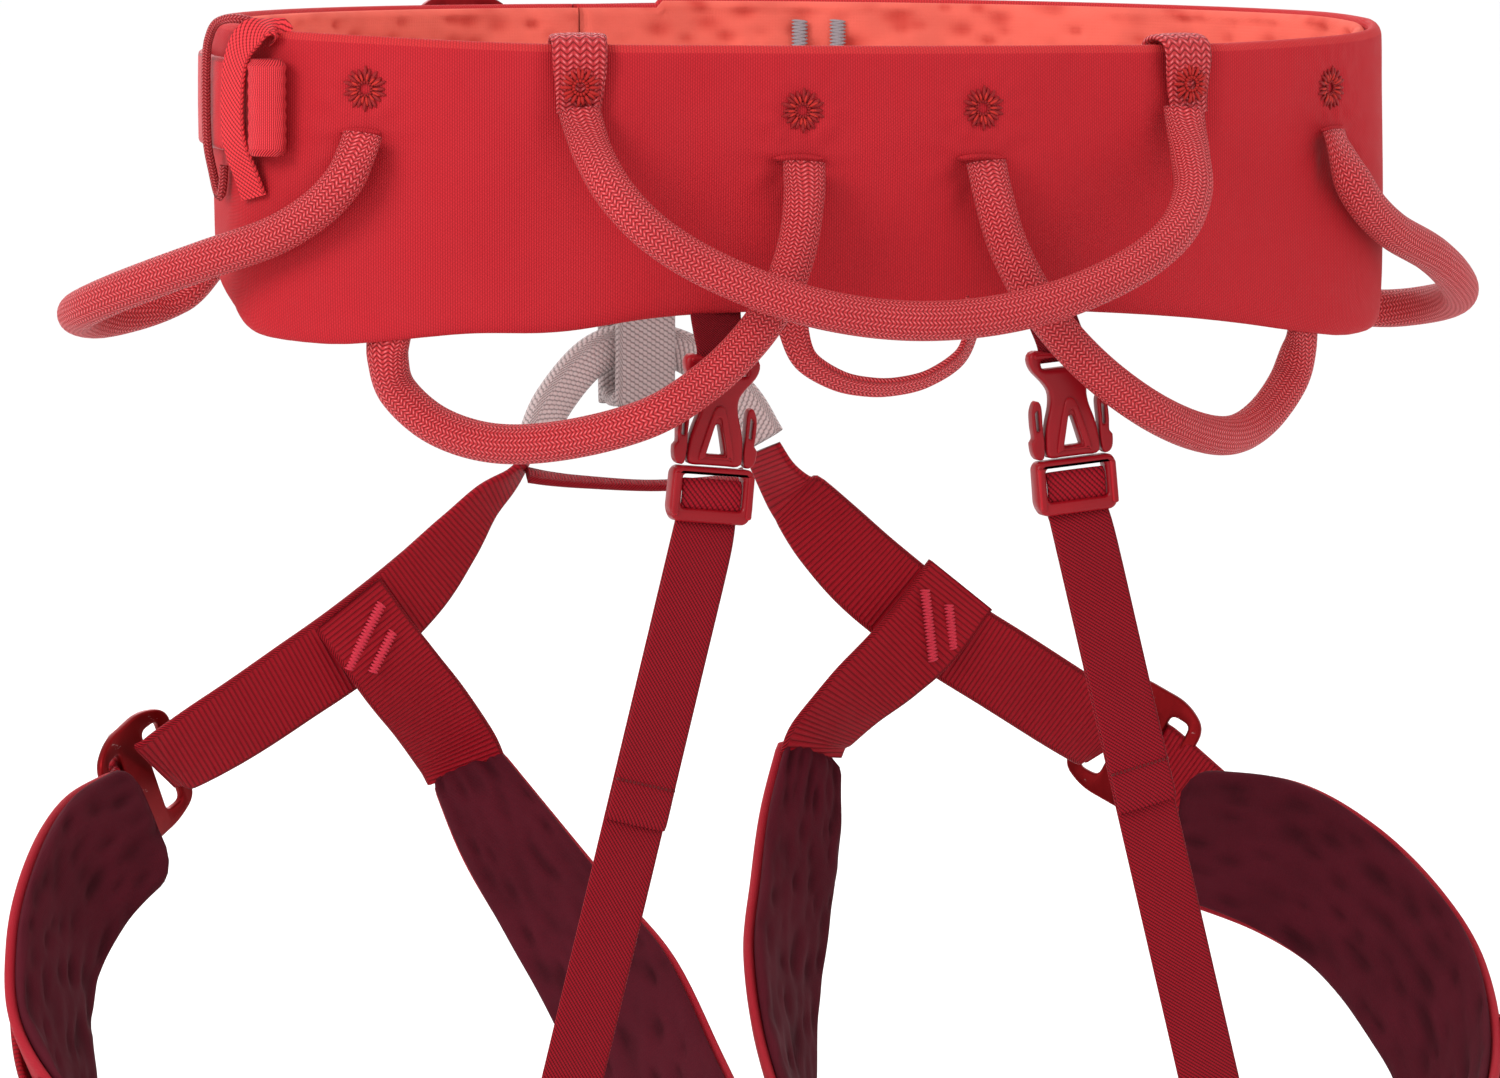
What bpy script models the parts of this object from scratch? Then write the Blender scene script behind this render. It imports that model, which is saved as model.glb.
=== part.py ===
"""Climbing harness: padded waist belt, gear loops, side-release rear risers, tie-in loops, leg loops.

Metres, +Z up. The origin is the middle of the waist opening at the belt's mid-height.
The wearer's back faces -Y, the front +Y, the right side +X.
"""
import math

import bmesh
import bpy
import numpy as np
from mathutils.geometry import tessellate_polygon

MM = 0.001
GAP = 0.4                     # clearance between neighbouring pieces

# Waist belt: two half ellipses in plan
BELT_HALF_WIDTH = 166.0
BELT_REAR_DEPTH = 62.0
BELT_FRONT_DEPTH = 138.0
BELT_TOP = 36.0
BELT_REAR_BOTTOM = -35.5
BELT_SIDE_BOTTOM = -46.0
BELT_FRONT_BOTTOM = -12.0
BELT_END_X = -26.0            # the two ends nearly meet here, left of centre
BELT_END_GAP = 3.0
BELT_ROLL = -0.014            # the belt hangs slightly lower on its right side (mm per mm)
SHELL_THICK = 4.0
LINING_THICK = 4.0

# Webbing
WAIST_WEB_WIDTH = 25.0
LEG_WEB_WIDTH = 25.0
WEB_THICK = 2.2
TIE_WIDTH = 18.0
TIE_THICK = 3.6
RISER_WIDTH = 16.4
RISER_THICK = 1.4
RISER_FOLD_LENGTH = 85.0

# Gear loops
TUBE_RADIUS = 6.3
TUBE_SIDES = 8
SHEATH_END_HALF_WIDTH = 7.0
SHEATH_END_HALF_THICK = 2.6

# Rear risers and their side-release buckles
RISER_TOP = (48.8, -65.0, -49.2)
RISER_LEAN_DEG = 5.4
BUCKLE_THICK = 5.6
RISER_FOOT = (105.0, -63.0, -299.0)

# Leg loops
TIE_POINT = (38.0, 142.0, -96.0)
LEG_AXIS_X = 118.0
LEG_AXIS_Y = 50.0
PAD_SHELL_THICK = 3.0
PAD_LINING_THICK = 3.5

RED = (0.80, 0.05, 0.04)
CORAL = (0.83, 0.12, 0.08)
LOOP_CORAL = (0.80, 0.10, 0.09)
DARK_RED = (0.36, 0.01, 0.02)
WEB_RED = (0.45, 0.01, 0.02)
MAROON = (0.09, 0.006, 0.012)
GREY = (0.45, 0.38, 0.35)
ANODISED = (0.50, 0.04, 0.04)
STEEL = (0.62, 0.62, 0.64)


def clear_scene():
    for obj in list(bpy.data.objects):
        bpy.data.objects.remove(obj, do_unlink=True)


def unit(vectors):
    vectors = np.asarray(vectors, float)
    return vectors / np.linalg.norm(vectors, axis=-1, keepdims=True)


def material_for(name, colour, metallic=0.0, roughness=0.7):
    material = bpy.data.materials.new(name)
    material.use_nodes = True
    shader = material.node_tree.nodes["Principled BSDF"]
    shader.inputs["Base Color"].default_value = (*colour, 1.0)
    shader.inputs["Metallic"].default_value = metallic
    shader.inputs["Roughness"].default_value = roughness
    return material


def add_mesh(name, vertices, faces, colour, metallic=0.0, roughness=0.7):
    """One closed body in millimetres becomes one named object in metres, facing out."""
    mesh = bpy.data.meshes.new(name)
    mesh.from_pydata([tuple(np.asarray(v, float) * MM) for v in vertices], [], faces)
    work = bmesh.new()
    work.from_mesh(mesh)
    bmesh.ops.recalc_face_normals(work, faces=work.faces)
    if work.calc_volume(signed=True) < 0:
        bmesh.ops.reverse_faces(work, faces=work.faces)
    work.to_mesh(mesh)
    work.free()
    mesh.materials.append(material_for(name, colour, metallic, roughness))
    obj = bpy.data.objects.new(name, mesh)
    bpy.context.scene.collection.objects.link(obj)
    return obj


def spline(rows, count, closed=False):
    """Smooth curve through the rows, as `count` rows evenly spaced along the first three columns."""
    rows = np.asarray(rows, float)
    total = len(rows)
    fine = []
    spans = total if closed else total - 1
    for i in range(spans):
        if closed:
            p0, p1, p2, p3 = (rows[(i + k) % total] for k in (-1, 0, 1, 2))
        else:
            p1, p2 = rows[i], rows[i + 1]
            p0 = rows[i - 1] if i > 0 else 2 * p1 - p2
            p3 = rows[i + 2] if i + 2 < total else 2 * p2 - p1
        for t in np.linspace(0, 1, 24, endpoint=False):
            fine.append(0.5 * (2 * p1 + (p2 - p0) * t + (2 * p0 - 5 * p1 + 4 * p2 - p3) * t * t
                               + (3 * p1 - p0 - 3 * p2 + p3) * t ** 3))
    fine.append(rows[0] if closed else rows[-1])
    fine = np.array(fine)
    steps = np.linalg.norm(np.diff(fine[:, :3], axis=0), axis=1)
    along = np.concatenate([[0], np.cumsum(steps)])
    wanted = np.linspace(0, along[-1], count + 1)[:-1] if closed else np.linspace(0, along[-1], count)
    return np.stack([np.interp(wanted, along, fine[:, k]) for k in range(fine.shape[1])], axis=1)


def frames(centres, outward, closed=False):
    """Width and outward directions across a path, from its tangents and a rough outward direction."""
    if closed:
        tangent = np.roll(centres, -1, axis=0) - np.roll(centres, 1, axis=0)
    else:
        tangent = np.gradient(centres, axis=0)
    tangent = unit(tangent)
    width = unit(np.cross(tangent, outward))
    return width, unit(np.cross(width, tangent))


def loft(name, rings, colour, closed=False, **look):
    """Skin a list of equal rings of points into one closed body."""
    rings = np.asarray(rings, float)
    count, sides = rings.shape[:2]
    faces = []
    for i in range(count if closed else count - 1):
        j = (i + 1) % count
        for k in range(sides):
            n = (k + 1) % sides
            a, b, c, d = i * sides + k, i * sides + n, j * sides + n, j * sides + k
            if np.linalg.norm(rings[i, k] - rings[j, n]) < np.linalg.norm(rings[i, n] - rings[j, k]):
                faces += [(a, b, c), (a, c, d)]
            else:
                faces += [(a, b, d), (b, c, d)]
    if not closed:
        faces.append(tuple(range(sides)))
        faces.append(tuple(range((count - 1) * sides, count * sides))[::-1])
    return add_mesh(name, rings.reshape(-1, 3), faces, colour, **look)


def strap(name, rows, outward, width, thick, colour, count=12, closed=False, lift=0.0):
    """Flat webbing along a smooth path; `lift` moves it out of the path's surface."""
    path = spline(rows, count, closed)
    centres = path[:, :3]
    directions = outward(centres) if callable(outward) else np.tile(outward, (len(centres), 1))
    across, out = frames(centres, directions, closed)
    widths = path[:, 3] if path.shape[1] > 3 else np.full(len(centres), width)
    rings = []
    for c, w, o, size in zip(centres, across, out, widths):
        low, high = lift, lift + thick
        half = size / 2
        rings.append([c - w * half + o * low, c + w * half + o * low,
                      c + w * half + o * high, c - w * half + o * high])
    return loft(name, rings, colour, closed)


def belt_depth(y):
    return BELT_REAR_DEPTH if y < 0 else BELT_FRONT_DEPTH


def belt_point(angle, offset=0.0):
    """Plan point and outward direction on the belt; angle 0 is the rear centre, +90 the right side."""
    x = math.sin(angle)
    y = -math.cos(angle)
    depth = belt_depth(y)
    out = unit(np.array([x / BELT_HALF_WIDTH, y / depth, 0.0]))
    return np.array([BELT_HALF_WIDTH * x, depth * y, 0.0]) + out * offset, out


def rolled(rows):
    """Follow the belt's slight roll."""
    rows = np.array(rows, float)
    rows[..., 2] += BELT_ROLL * rows[..., 0]
    return rows


def belt_bottom(angle):
    """The bottom edge drops from the rear centre to the sides, then rises to the narrow front."""
    a = abs(math.degrees(angle))
    return float(np.interp(a, [0, 25, 42, 55, 68, 80, 92, 108, 130, 155, 180],
                           [BELT_REAR_BOTTOM, -38, -42, BELT_SIDE_BOTTOM, -46.5, -43, -36, -29, -20, -14,
                            BELT_FRONT_BOTTOM]))


def belt_angles(count):
    """From the right-hand end of the belt, round the back, to the left-hand end."""
    left_end = math.pi - math.asin((-BELT_END_X + BELT_END_GAP / 2) / BELT_HALF_WIDTH)
    right_end = math.pi + math.asin((-BELT_END_X - BELT_END_GAP / 2) / BELT_HALF_WIDTH)
    return np.linspace(right_end, -left_end, count)


def belt_band(name, inner, outer, top_drop, bottom_rise, colour):
    """A soft-edged band between two offsets of the belt's plan curve."""
    rings = []
    for angle in belt_angles(73):
        base, out = belt_point(angle)
        top = BELT_TOP - top_drop
        bottom = belt_bottom(angle) + bottom_rise
        bevel = (outer - inner) * 0.55
        profile = [(inner, bottom), (outer - bevel, bottom), (outer, bottom + bevel),
                   (outer, top - bevel), (outer - bevel, top), (inner, top)]
        rings.append([base + out * o + np.array([0, 0, z]) for o, z in profile])
    return loft(name, rolled(rings), colour)


def build_belt():
    belt_band("belt_outer_shell", -SHELL_THICK, 0.0, 0.0, 0.0, RED)
    belt_band("belt_inner_lining", -SHELL_THICK - LINING_THICK, -SHELL_THICK - 0.1, 1.5, 1.5, CORAL)


def along_belt(start_deg, end_deg, offset, heights, count=9):
    """Path rows that hug the belt from one angle to another, with heights eased between ends."""
    rows = []
    for i, angle in enumerate(np.radians(np.linspace(start_deg, end_deg, count))):
        point, _ = belt_point(angle, offset)
        z = np.interp(i / (count - 1), np.linspace(0, 1, len(heights)), heights)
        rows.append([point[0], point[1], z])
    return rows


def belt_outward(centres):
    result = []
    for x, y, _ in centres:
        result.append(unit(np.array([x / BELT_HALF_WIDTH ** 2, y / belt_depth(y) ** 2, 0.0])))
    return np.array(result)


def tube(name, rows, colour, flat_start=None, flat_end=None):
    """A sheathed gear loop: round in the middle, pressed flat where it is sewn in."""
    count = 25
    path = spline(rows, count)
    centres = path[:, :3]
    middle = centres.mean(axis=0)
    tangent = unit(np.gradient(centres, axis=0))
    rough = np.tile(unit(np.array([middle[0] * 0.2, -1.0, 0.0])), (count, 1))
    if flat_start is not None:
        blend = np.linspace(0, 1, count)[:, None]
        rough = unit(np.array(flat_start) * (1 - blend) + np.array(flat_end) * blend)
    across = unit(np.cross(tangent, rough))
    out = unit(np.cross(across, tangent))
    rings = []
    for i in range(count):
        ends = min(i, count - 1 - i) / (count - 1)
        flat = max(0.0, 1 - ends / 0.10)
        half_width = TUBE_RADIUS + (SHEATH_END_HALF_WIDTH - TUBE_RADIUS) * flat
        half_thick = TUBE_RADIUS + (SHEATH_END_HALF_THICK - TUBE_RADIUS) * flat
        ring = []
        for k in range(TUBE_SIDES):
            turn = 2 * math.pi * (k + 0.5) / TUBE_SIDES
            ring.append(centres[i] + across[i] * half_width * math.cos(turn)
                        + out[i] * half_thick * math.sin(turn))
        rings.append(ring)
    return loft(name, rings, colour)


def side_name(side):
    return "right" if side > 0 else "left"


def mirrored(rows, side):
    rows = np.array(rows, float)
    rows[:, 0] *= side
    return rows


CENTRE_LOOP = [(86, -59.5, 16), (85.5, -66, 6), (82, -76, -5), (74, -84, -15), (60, -89, -24),
               (40, -91.5, -32), (20, -92.5, -36.5), (0, -92.5, -38)]
REAR_LOOP = [(26, -66.5, 3), (27, -69.5, -6), (30, -72.5, -19), (36, -75.5, -32), (45, -76.5, -44),
             (57, -76, -55), (72, -73, -64.5), (90, -60, -71), (106, -46, -73), (119, -35, -69),
             (128.5, -29.5, -60), (131.5, -29, -50.5)]
SIDE_LOOP = [(141.5, -38, 7), (146.5, -39, -3), (158, -32.5, -15), (178, -14, -25), (194, 4, -33),
             (202, 20, -39), (200, 38, -43), (188, 53, -45), (172, 59, -43), (160, 55, -38.5)]


def build_gear_loops():
    centre = [(-x, y, z) for x, y, z in CENTRE_LOOP[:-1]] + CENTRE_LOOP[::-1]
    tube("gear_loop_centre", rolled(centre), LOOP_CORAL)
    for side in (-1, 1):
        tube(f"gear_loop_rear_{side_name(side)}", rolled(mirrored(REAR_LOOP, side)), LOOP_CORAL,
             (0.1 * side, -1, 0), (0.5 * side, -0.8, 0))
        tube(f"gear_loop_side_{side_name(side)}", rolled(mirrored(SIDE_LOOP, side)), LOOP_CORAL,
             (0.7 * side, -0.7, 0), (0.9 * side, 0.3, 0.2))
        build_loop_tab(side)


def build_loop_tab(side):
    """Flat sheath that folds over the belt's rim above each end of the centre loop."""
    angle = side * math.asin(86 / BELT_HALF_WIDTH)
    base, out = belt_point(angle)
    along = unit(np.cross(out, [0, 0, 1]))
    top = BELT_TOP + GAP
    inner = -SHELL_THICK - LINING_THICK - GAP
    profile = [(GAP, 18), (GAP, top), (inner, top), (inner, 22), (inner - 1.6, 22),
               (inner - 1.6, top + 1.6), (GAP + 1.6, top + 1.6), (GAP + 1.6, 18)]
    rings = []
    for offset in (-7.0, 7.0):
        ring = []
        for o, z in profile:
            curve = 0.9 if o > 0 else 0.0
            ring.append(base + along * offset + out * (o + curve) + np.array([0, 0, z]))
        rings.append(rolled(ring))
    outline_body(f"centre_loop_tab_{side_name(side)}", rings[0], rings[1], LOOP_CORAL)


def outline_body(name, ring_a, ring_b, colour, **look):
    """Prism between two matching outlines that may be concave."""
    count = len(ring_a)
    flat = [np.asarray(p, float) for p in ring_a]
    triangles = tessellate_polygon([[tuple(p) for p in flat]])
    vertices = list(ring_a) + list(ring_b)
    faces = [tuple(t) for t in triangles]
    faces += [tuple(i + count for i in t)[::-1] for t in triangles]
    for k in range(count):
        n = (k + 1) % count
        faces.append((k, n, n + count, k + count))
    return add_mesh(name, vertices, faces, colour, **look)


def plate(name, outline, holes, thick, place, colour, **look):
    """Flat plate with holes. `place` maps (across, along, out) in millimetres to the harness."""
    loops = [outline] + list(holes)
    flat = [p for loop in loops for p in loop]
    count = len(flat)
    triangles = tessellate_polygon([[(x, y, 0.0) for x, y in loop] for loop in loops])
    vertices = [place(x, y, -thick / 2) for x, y in flat] + [place(x, y, thick / 2) for x, y in flat]
    faces = [tuple(t) for t in triangles]
    faces += [tuple(i + count for i in t)[::-1] for t in triangles]
    start = 0
    for loop in loops:
        size = len(loop)
        for k in range(size):
            a = start + k
            b = start + (k + 1) % size
            faces.append((a, b, b + count, a + count))
        start += size
    return add_mesh(name, vertices, faces, colour, **look)


def rounded(points, radius, steps=3):
    """Round the corners of a polygon."""
    points = [np.asarray(p, float) for p in points]
    result = []
    for i, corner in enumerate(points):
        before = points[i - 1] - corner
        after = points[(i + 1) % len(points)] - corner
        reach = min(radius, np.linalg.norm(before) * 0.45, np.linalg.norm(after) * 0.45)
        a = corner + unit(before) * reach
        b = corner + unit(after) * reach
        for t in np.linspace(0, 1, steps):
            result.append(tuple((1 - t) ** 2 * a + 2 * t * (1 - t) * corner + t * t * b))
    return result


def both_sides(half):
    """Close a right-hand half outline, listed from top to bottom, with its mirror image."""
    return list(half) + [(-x, y) for x, y in reversed(half)]


def buckle_place(side):
    """Local buckle frame: x across, y up the riser (0 at the receiver's top), z towards the back."""
    lean = math.radians(RISER_LEAN_DEG) * side
    across = np.array([math.cos(lean), 0.0, math.sin(lean)])
    up = np.array([-math.sin(lean), 0.0, math.cos(lean)])
    back = np.array([0.0, -1.0, 0.0])
    top = np.array(RISER_TOP) * [side, 1, 1]
    return lambda x, y, z: top + across * x + up * y + back * z


def build_side_release(side):
    place = buckle_place(side)
    label = side_name(side)
    receiver = both_sides([(5.0, 0.6), (8.4, 1.2), (10.2, -0.8), (9.6, -4.0), (6.0, -8.4), (4.6, -11.0),
                           (5.2, -15.0), (7.4, -20.5), (8.0, -23.5), (7.8, -27.0), (4.8, -27.6)])
    slot = [(-7.0, -0.9), (-7.0, -3.6), (7.0, -3.6), (7.0, -0.9)]
    window = [(-0.9, -15.5), (-3.2, -25.6), (3.2, -25.6), (0.9, -15.5)]
    plate(f"riser_receiver_{label}", rounded(receiver, 1.6, 2), [slot, window], BUCKLE_THICK, place,
          DARK_RED, roughness=0.3)
    frame = both_sides([(10.6, -29.4), (11.6, -31.0), (11.9, -41.0), (9.8, -43.4)])
    opening = [(-8.4, -31.6), (-8.4, -39.6), (8.4, -39.6), (8.4, -31.6)]
    plate(f"riser_frame_{label}", rounded(frame, 1.5, 2), [rounded(opening, 1.0, 2)],
          BUCKLE_THICK + 1.0, place, DARK_RED, roughness=0.3)
    for hand in (-1, 1):
        arm = [(9.6, -29.0), (11.5, -29.0), (12.3, -24.0), (12.6, -17.5), (12.0, -13.5), (10.6, -12.0),
               (9.6, -13.2), (9.6, -19.0)]
        hole = [(10.6, -15.0), (10.6, -21.0), (11.2, -21.0), (11.4, -15.5)]
        outline = [(x * hand, y) for x, y in arm]
        inner = [(x * hand, y) for x, y in hole]
        name = f"riser_arm_{label}_{'outer' if hand == side else 'inner'}"
        plate(name, outline, [inner], BUCKLE_THICK - 1.6, place, DARK_RED, roughness=0.3)


def riser_rows(side, start, end):
    """Points on the riser between two distances below the buckle frame's webbing bar."""
    top = buckle_place(side)(0, -41.0, 0)
    foot = np.array(RISER_FOOT) * [side, 1, 1]
    line = foot - top
    length = np.linalg.norm(line)
    return [top + line * (d / length) for d in np.linspace(start, min(end, length), 3)]


def build_riser(side):
    label = side_name(side)
    place = buckle_place(side)
    rear = np.array([0.0, -1.0, 0.0])
    top = [place(0, 9.6, -7.0), place(0, 6.5, -4.5), place(0, 2.2, -0.5)]
    strap(f"riser_top_strap_{label}", top, rear, RISER_WIDTH - 2, 2.2, DARK_RED, 5, lift=-1.1)
    strap(f"riser_fold_{label}", riser_rows(side, 4.2, RISER_FOLD_LENGTH), rear, RISER_WIDTH, RISER_THICK,
          DARK_RED, 3, lift=1.0)
    strap(f"riser_elastic_{label}", riser_rows(side, 20.0, 1000.0), rear, RISER_WIDTH, RISER_THICK,
          DARK_RED, 6, lift=-0.8)


def build_haul_loop():
    half = [(25, -57, -39.4, 2.4), (25.5, -57, -45, 8), (22, -57, -50.5, 8), (13, -57, -56, 8),
            (4, -57, -58, 8)]
    path = [(-x, y, z, wide) for x, y, z, wide in half] + half[::-1]
    centre = np.array([0.0, 0.0, -44.0])
    strap("haul_loop", path, lambda c: unit((c - centre) * [1, 0, 1]), 8.0, 1.8, LOOP_CORAL, 14)


def build_waist_web():
    """Webbing round the front, its adjuster buckle, and the stowed end on the left side."""
    front = along_belt(152, 192, 0, [27, 26, 26])
    strap("waist_web", front, belt_outward, WAIST_WEB_WIDTH, WEB_THICK, WEB_RED, 13, lift=GAP + 0.3)
    tail = along_belt(-148, -74, 0, [22, 19, 19, 18.5], 13)
    strap("waist_web_tail", tail, belt_outward, WAIST_WEB_WIDTH, WEB_THICK, WEB_RED, 21, lift=GAP + 0.6)
    centre, out = belt_point(math.radians(-159.5), 4.0)
    centre[2] = 22.0
    along = unit(np.cross([0, 0, 1], out))

    def place(x, y, z):
        return centre + np.array([0, 0, x]) + along * y + out * (z + 0.5)

    adjuster_buckle("waist", "", place, 14.5)
    keeper = [belt_point(math.radians(a), o)[0] + [0, 0, z]
              for a, o, z in ((-79, 3.0, 37), (-84, 5.6, 32), (-87, 5.6, 19), (-85, 5.6, 6), (-82, 3.0, -2))]
    strap("tail_keeper_ribbon", keeper, belt_outward, 11.0, 1.2, WEB_RED, 9)
    build_tool_loop()


def build_tool_loop():
    rows = [(-160, 16, 39.5), (-166, 13, 42), (-172, 10, 38), (-174, 9, 26), (-174, 8, 5), (-172, 8, -9)]
    path = spline(rows, 14)
    centres = path[:, :3]
    across, out = frames(centres, np.tile([0.0, -1.0, 0.0], (len(centres), 1)))
    rings = []
    for c, w, o in zip(centres, across, out):
        turns = [2 * math.pi * k / 6 for k in range(6)]
        rings.append([c + 1.4 * (w * math.cos(t) + o * math.sin(t)) for t in turns])
    loft("tool_loop_cord", rings, WEB_RED)


def build_tie_in():
    handle = [(-38, 137.2, 2), (-33, 146, 2), (-21, 152.6, 2), (-7, 154, 2), (7, 154, 2), (21, 152.6, 2),
              (33, 146, 2), (38, 137.2, 2)]
    strap("upper_tie_in_loop", handle, lambda c: unit((c - [0, 100, 2]) * [1, 1, 0]), 19.0, TIE_THICK, GREY,
          15, lift=-TIE_THICK / 2)
    build_belay_loop()
    lower = [(-38, 142, -88), (-30, 147, -76), (-15, 152, -63.5), (0, 154, -60), (15, 152, -63.5),
             (30, 147, -76), (38, 142, -88)]
    strap("lower_tie_in_loop", lower, (0, 1, 0), 13.0, TIE_THICK, GREY, 15, lift=-TIE_THICK / 2)
    x, y, z = TIE_POINT
    bridge = [(-x + 8, y - 2, z - 3), (0, y - 2, z - 5), (x - 8, y - 2, z - 3)]
    strap("bridge_strap", bridge, (0, 0, 1), 14.0, 1.8, WEB_RED, 7)


def build_belay_loop():
    """A long ring of webbing over the upper tie-in loop, with flat ends."""
    middle_y, top, bottom, depth = 154.0, 18.0, -76.5, 8.2
    path = []
    for base, sign in ((top - depth, 1), (bottom + depth, -1)):
        for degrees in (75, 45, 15, -15, -45, -75):
            turn = math.radians(degrees)
            path.append((0.0, middle_y - sign * depth * math.sin(turn), base + sign * depth * math.cos(turn)))
    path = np.array(path)
    core = path.copy()
    core[:, 1] = middle_y
    core[:, 2] = np.clip(core[:, 2], bottom + depth, top - depth)
    across, out = frames(path, unit(path - core), closed=True)
    half = TIE_WIDTH / 2
    rings = [[c - w * half, c + w * half, c + w * half + o * TIE_THICK, c - w * half + o * TIE_THICK]
             for c, w, o in zip(path - out * TIE_THICK / 2, across, out)]
    loft("belay_loop", rings, GREY, closed=True)


# A leg pad's top and bottom edges from the inner front, round the thigh, to the outer front
PAD_EDGES = [(42, 148, -177, 61, 154, -188), (32, 133, -193, 57, 142, -206),
             (22, 112, -211, 48, 127, -228), (12, 88, -229, 38, 110, -253),
             (7.5, 62, -252, 30, 88, -285), (7.5, 35, -269, 26, 55, -315), (16, 4, -281, 32, 20, -340),
             (40, -28, -287, 52, -10, -355), (75, -50, -290, 82, -32, -362),
             (112, -57, -290, 114, -41, -364), (150, -50, -285, 146, -35, -358),
             (184, -27, -272, 172, -14, -340), (206, 5, -255, 188, 12, -312),
             (216, 38, -234, 193, 38, -280), (212, 60, -212, 190, 62, -255),
             (200, 82, -193, 184, 84, -233), (184, 104, -182, 170, 98, -216),
             (162, 124, -178, 152, 110, -204)]


def pad_surface(side, count):
    """Top edge, bottom edge and outward direction along a leg pad."""
    rows = np.array(PAD_EDGES, float)
    rows[:, (0, 3)] *= side
    path = spline(rows, count)
    top, bottom = path[:, :3], path[:, 3:6]
    middle = (top + bottom) / 2
    outward = middle - [LEG_AXIS_X * side, LEG_AXIS_Y, 0]
    outward[:, 2] = 0
    normal = unit(np.cross(np.gradient(middle, axis=0), top - bottom))
    flip = np.sign(np.sum(normal * outward, axis=1))[:, None]
    return top, bottom, normal * flip


def pad_panel(name, side, low, high, margin, colour):
    top, bottom, normal = pad_surface(side, 49)
    up = unit(top - bottom)
    top = top - up * margin
    bottom = bottom + up * margin
    rings = []
    for t, b, n in zip(top, bottom, normal):
        rings.append([b + n * low, b + n * high, t + n * high, t + n * low])
    return loft(name, rings, colour)


def pad_rows(side, start, end, height, count=9):
    """Path rows lying over the pad, `height` being 0 on its bottom edge and 1 on its top edge."""
    top, bottom, normal = pad_surface(side, 101)
    rows = []
    for share in np.linspace(start, end, count):
        i = int(round(share * 100))
        rows.append(bottom[i] * (1 - height) + top[i] * height)
    return rows


def pad_outward(side):
    top, bottom, normal = pad_surface(side, 101)
    middle = (top + bottom) / 2

    def outward(centres):
        return np.array([normal[np.argmin(np.linalg.norm(middle - c, axis=1))] for c in centres])

    return outward


def build_leg(side):
    label = side_name(side)
    pad_panel(f"leg_pad_outer_{label}", side, 0, PAD_SHELL_THICK, 0, RED)
    pad_panel(f"leg_pad_lining_{label}", side, -PAD_LINING_THICK, -0.6, 0, MAROON)
    x, y, z = TIE_POINT
    front = mirrored([(x + 7, y, z - 7), (54, y, -115), (66, y - 2, -128.5), (84, y - 5.5, -142),
                      (108, y - 6.5, -156.5), (128, y - 5, -169), (139, y - 3.5, -175.5)], side)
    strap(f"leg_web_front_{label}", front, unit(np.array([0.25 * side, 1, 0.1])), LEG_WEB_WIDTH, WEB_THICK,
          WEB_RED, 13)
    inner = mirrored([(74, y - 3.5, -156.5), (68, y + 1, -165.5), (57, y + 7.3, -178.5)], side)
    strap(f"leg_web_inner_{label}", inner, unit(np.array([-0.35 * side, 1, 0.1])), LEG_WEB_WIDTH - 3,
          WEB_THICK, WEB_RED, 7)
    build_leg_buckle(side)
    outward = pad_outward(side)
    strap(f"leg_adjuster_web_{label}", pad_rows(side, 0.97, 0.70, 0.52), outward, LEG_WEB_WIDTH - 5,
          WEB_THICK, WEB_RED, 13, lift=PAD_SHELL_THICK + 2.0)
    top, bottom, _ = pad_surface(side, 101)
    keeper = [bottom[76] * (1 - h) + top[76] * h for h in (0.02, 0.35, 0.65, 0.98)]
    strap(f"leg_keeper_{label}", keeper, outward, 16.0, 1.4, RED, 5,
          lift=PAD_SHELL_THICK + WEB_THICK + 4.8)


def adjuster_buckle(owner, label, place, slot_half):
    """A double-slotted plate and the loose bar behind it."""
    suffix = f"_{label}" if label else ""
    wide = slot_half + 5.5
    outline = rounded([(wide, 8), (wide - 4, 16), (4 - wide, 16), (-wide, 8), (-wide, -8), (4 - wide, -16),
                       (wide - 4, -16), (wide, -8)], 4, 3)
    slots = [[(slot_half, c + 3.2), (-slot_half, c + 3.2), (-slot_half, c - 3.2), (slot_half, c - 3.2)]
             for c in (8.6, -8.6)]
    plate(f"{owner}_buckle_plate{suffix}", outline, slots, 2.2, place, ANODISED, metallic=1.0, roughness=0.3)
    ends = [place(x, 0, 3.6) for x in (2 - wide, wide - 2)]
    out = unit(place(0, 0, 1) - place(0, 0, 0))
    strap(f"{owner}_buckle_bar{suffix}", ends, out, 7.0, 2.0, STEEL, 2, lift=-1.0)


def build_leg_buckle(side):
    centre = np.array([151.0 * side, 145.5, -181.0])
    out = unit(np.array([0.55 * side, 0.83, 0.05]))
    along = np.array([0.70 * side, -0.45, -0.45])
    along = unit(along - out * float(along @ out))
    across = unit(np.cross(out, along))

    def place(x, y, z):
        return centre + across * x + along * y + out * z

    adjuster_buckle("leg", side_name(side), place, 13.5)


def main():
    clear_scene()
    build_belt()
    build_gear_loops()
    build_haul_loop()
    for side in (-1, 1):
        build_riser(side)
        build_side_release(side)
    build_waist_web()
    build_tie_in()
    for side in (-1, 1):
        build_leg(side)


main()
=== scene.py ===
import math

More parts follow.
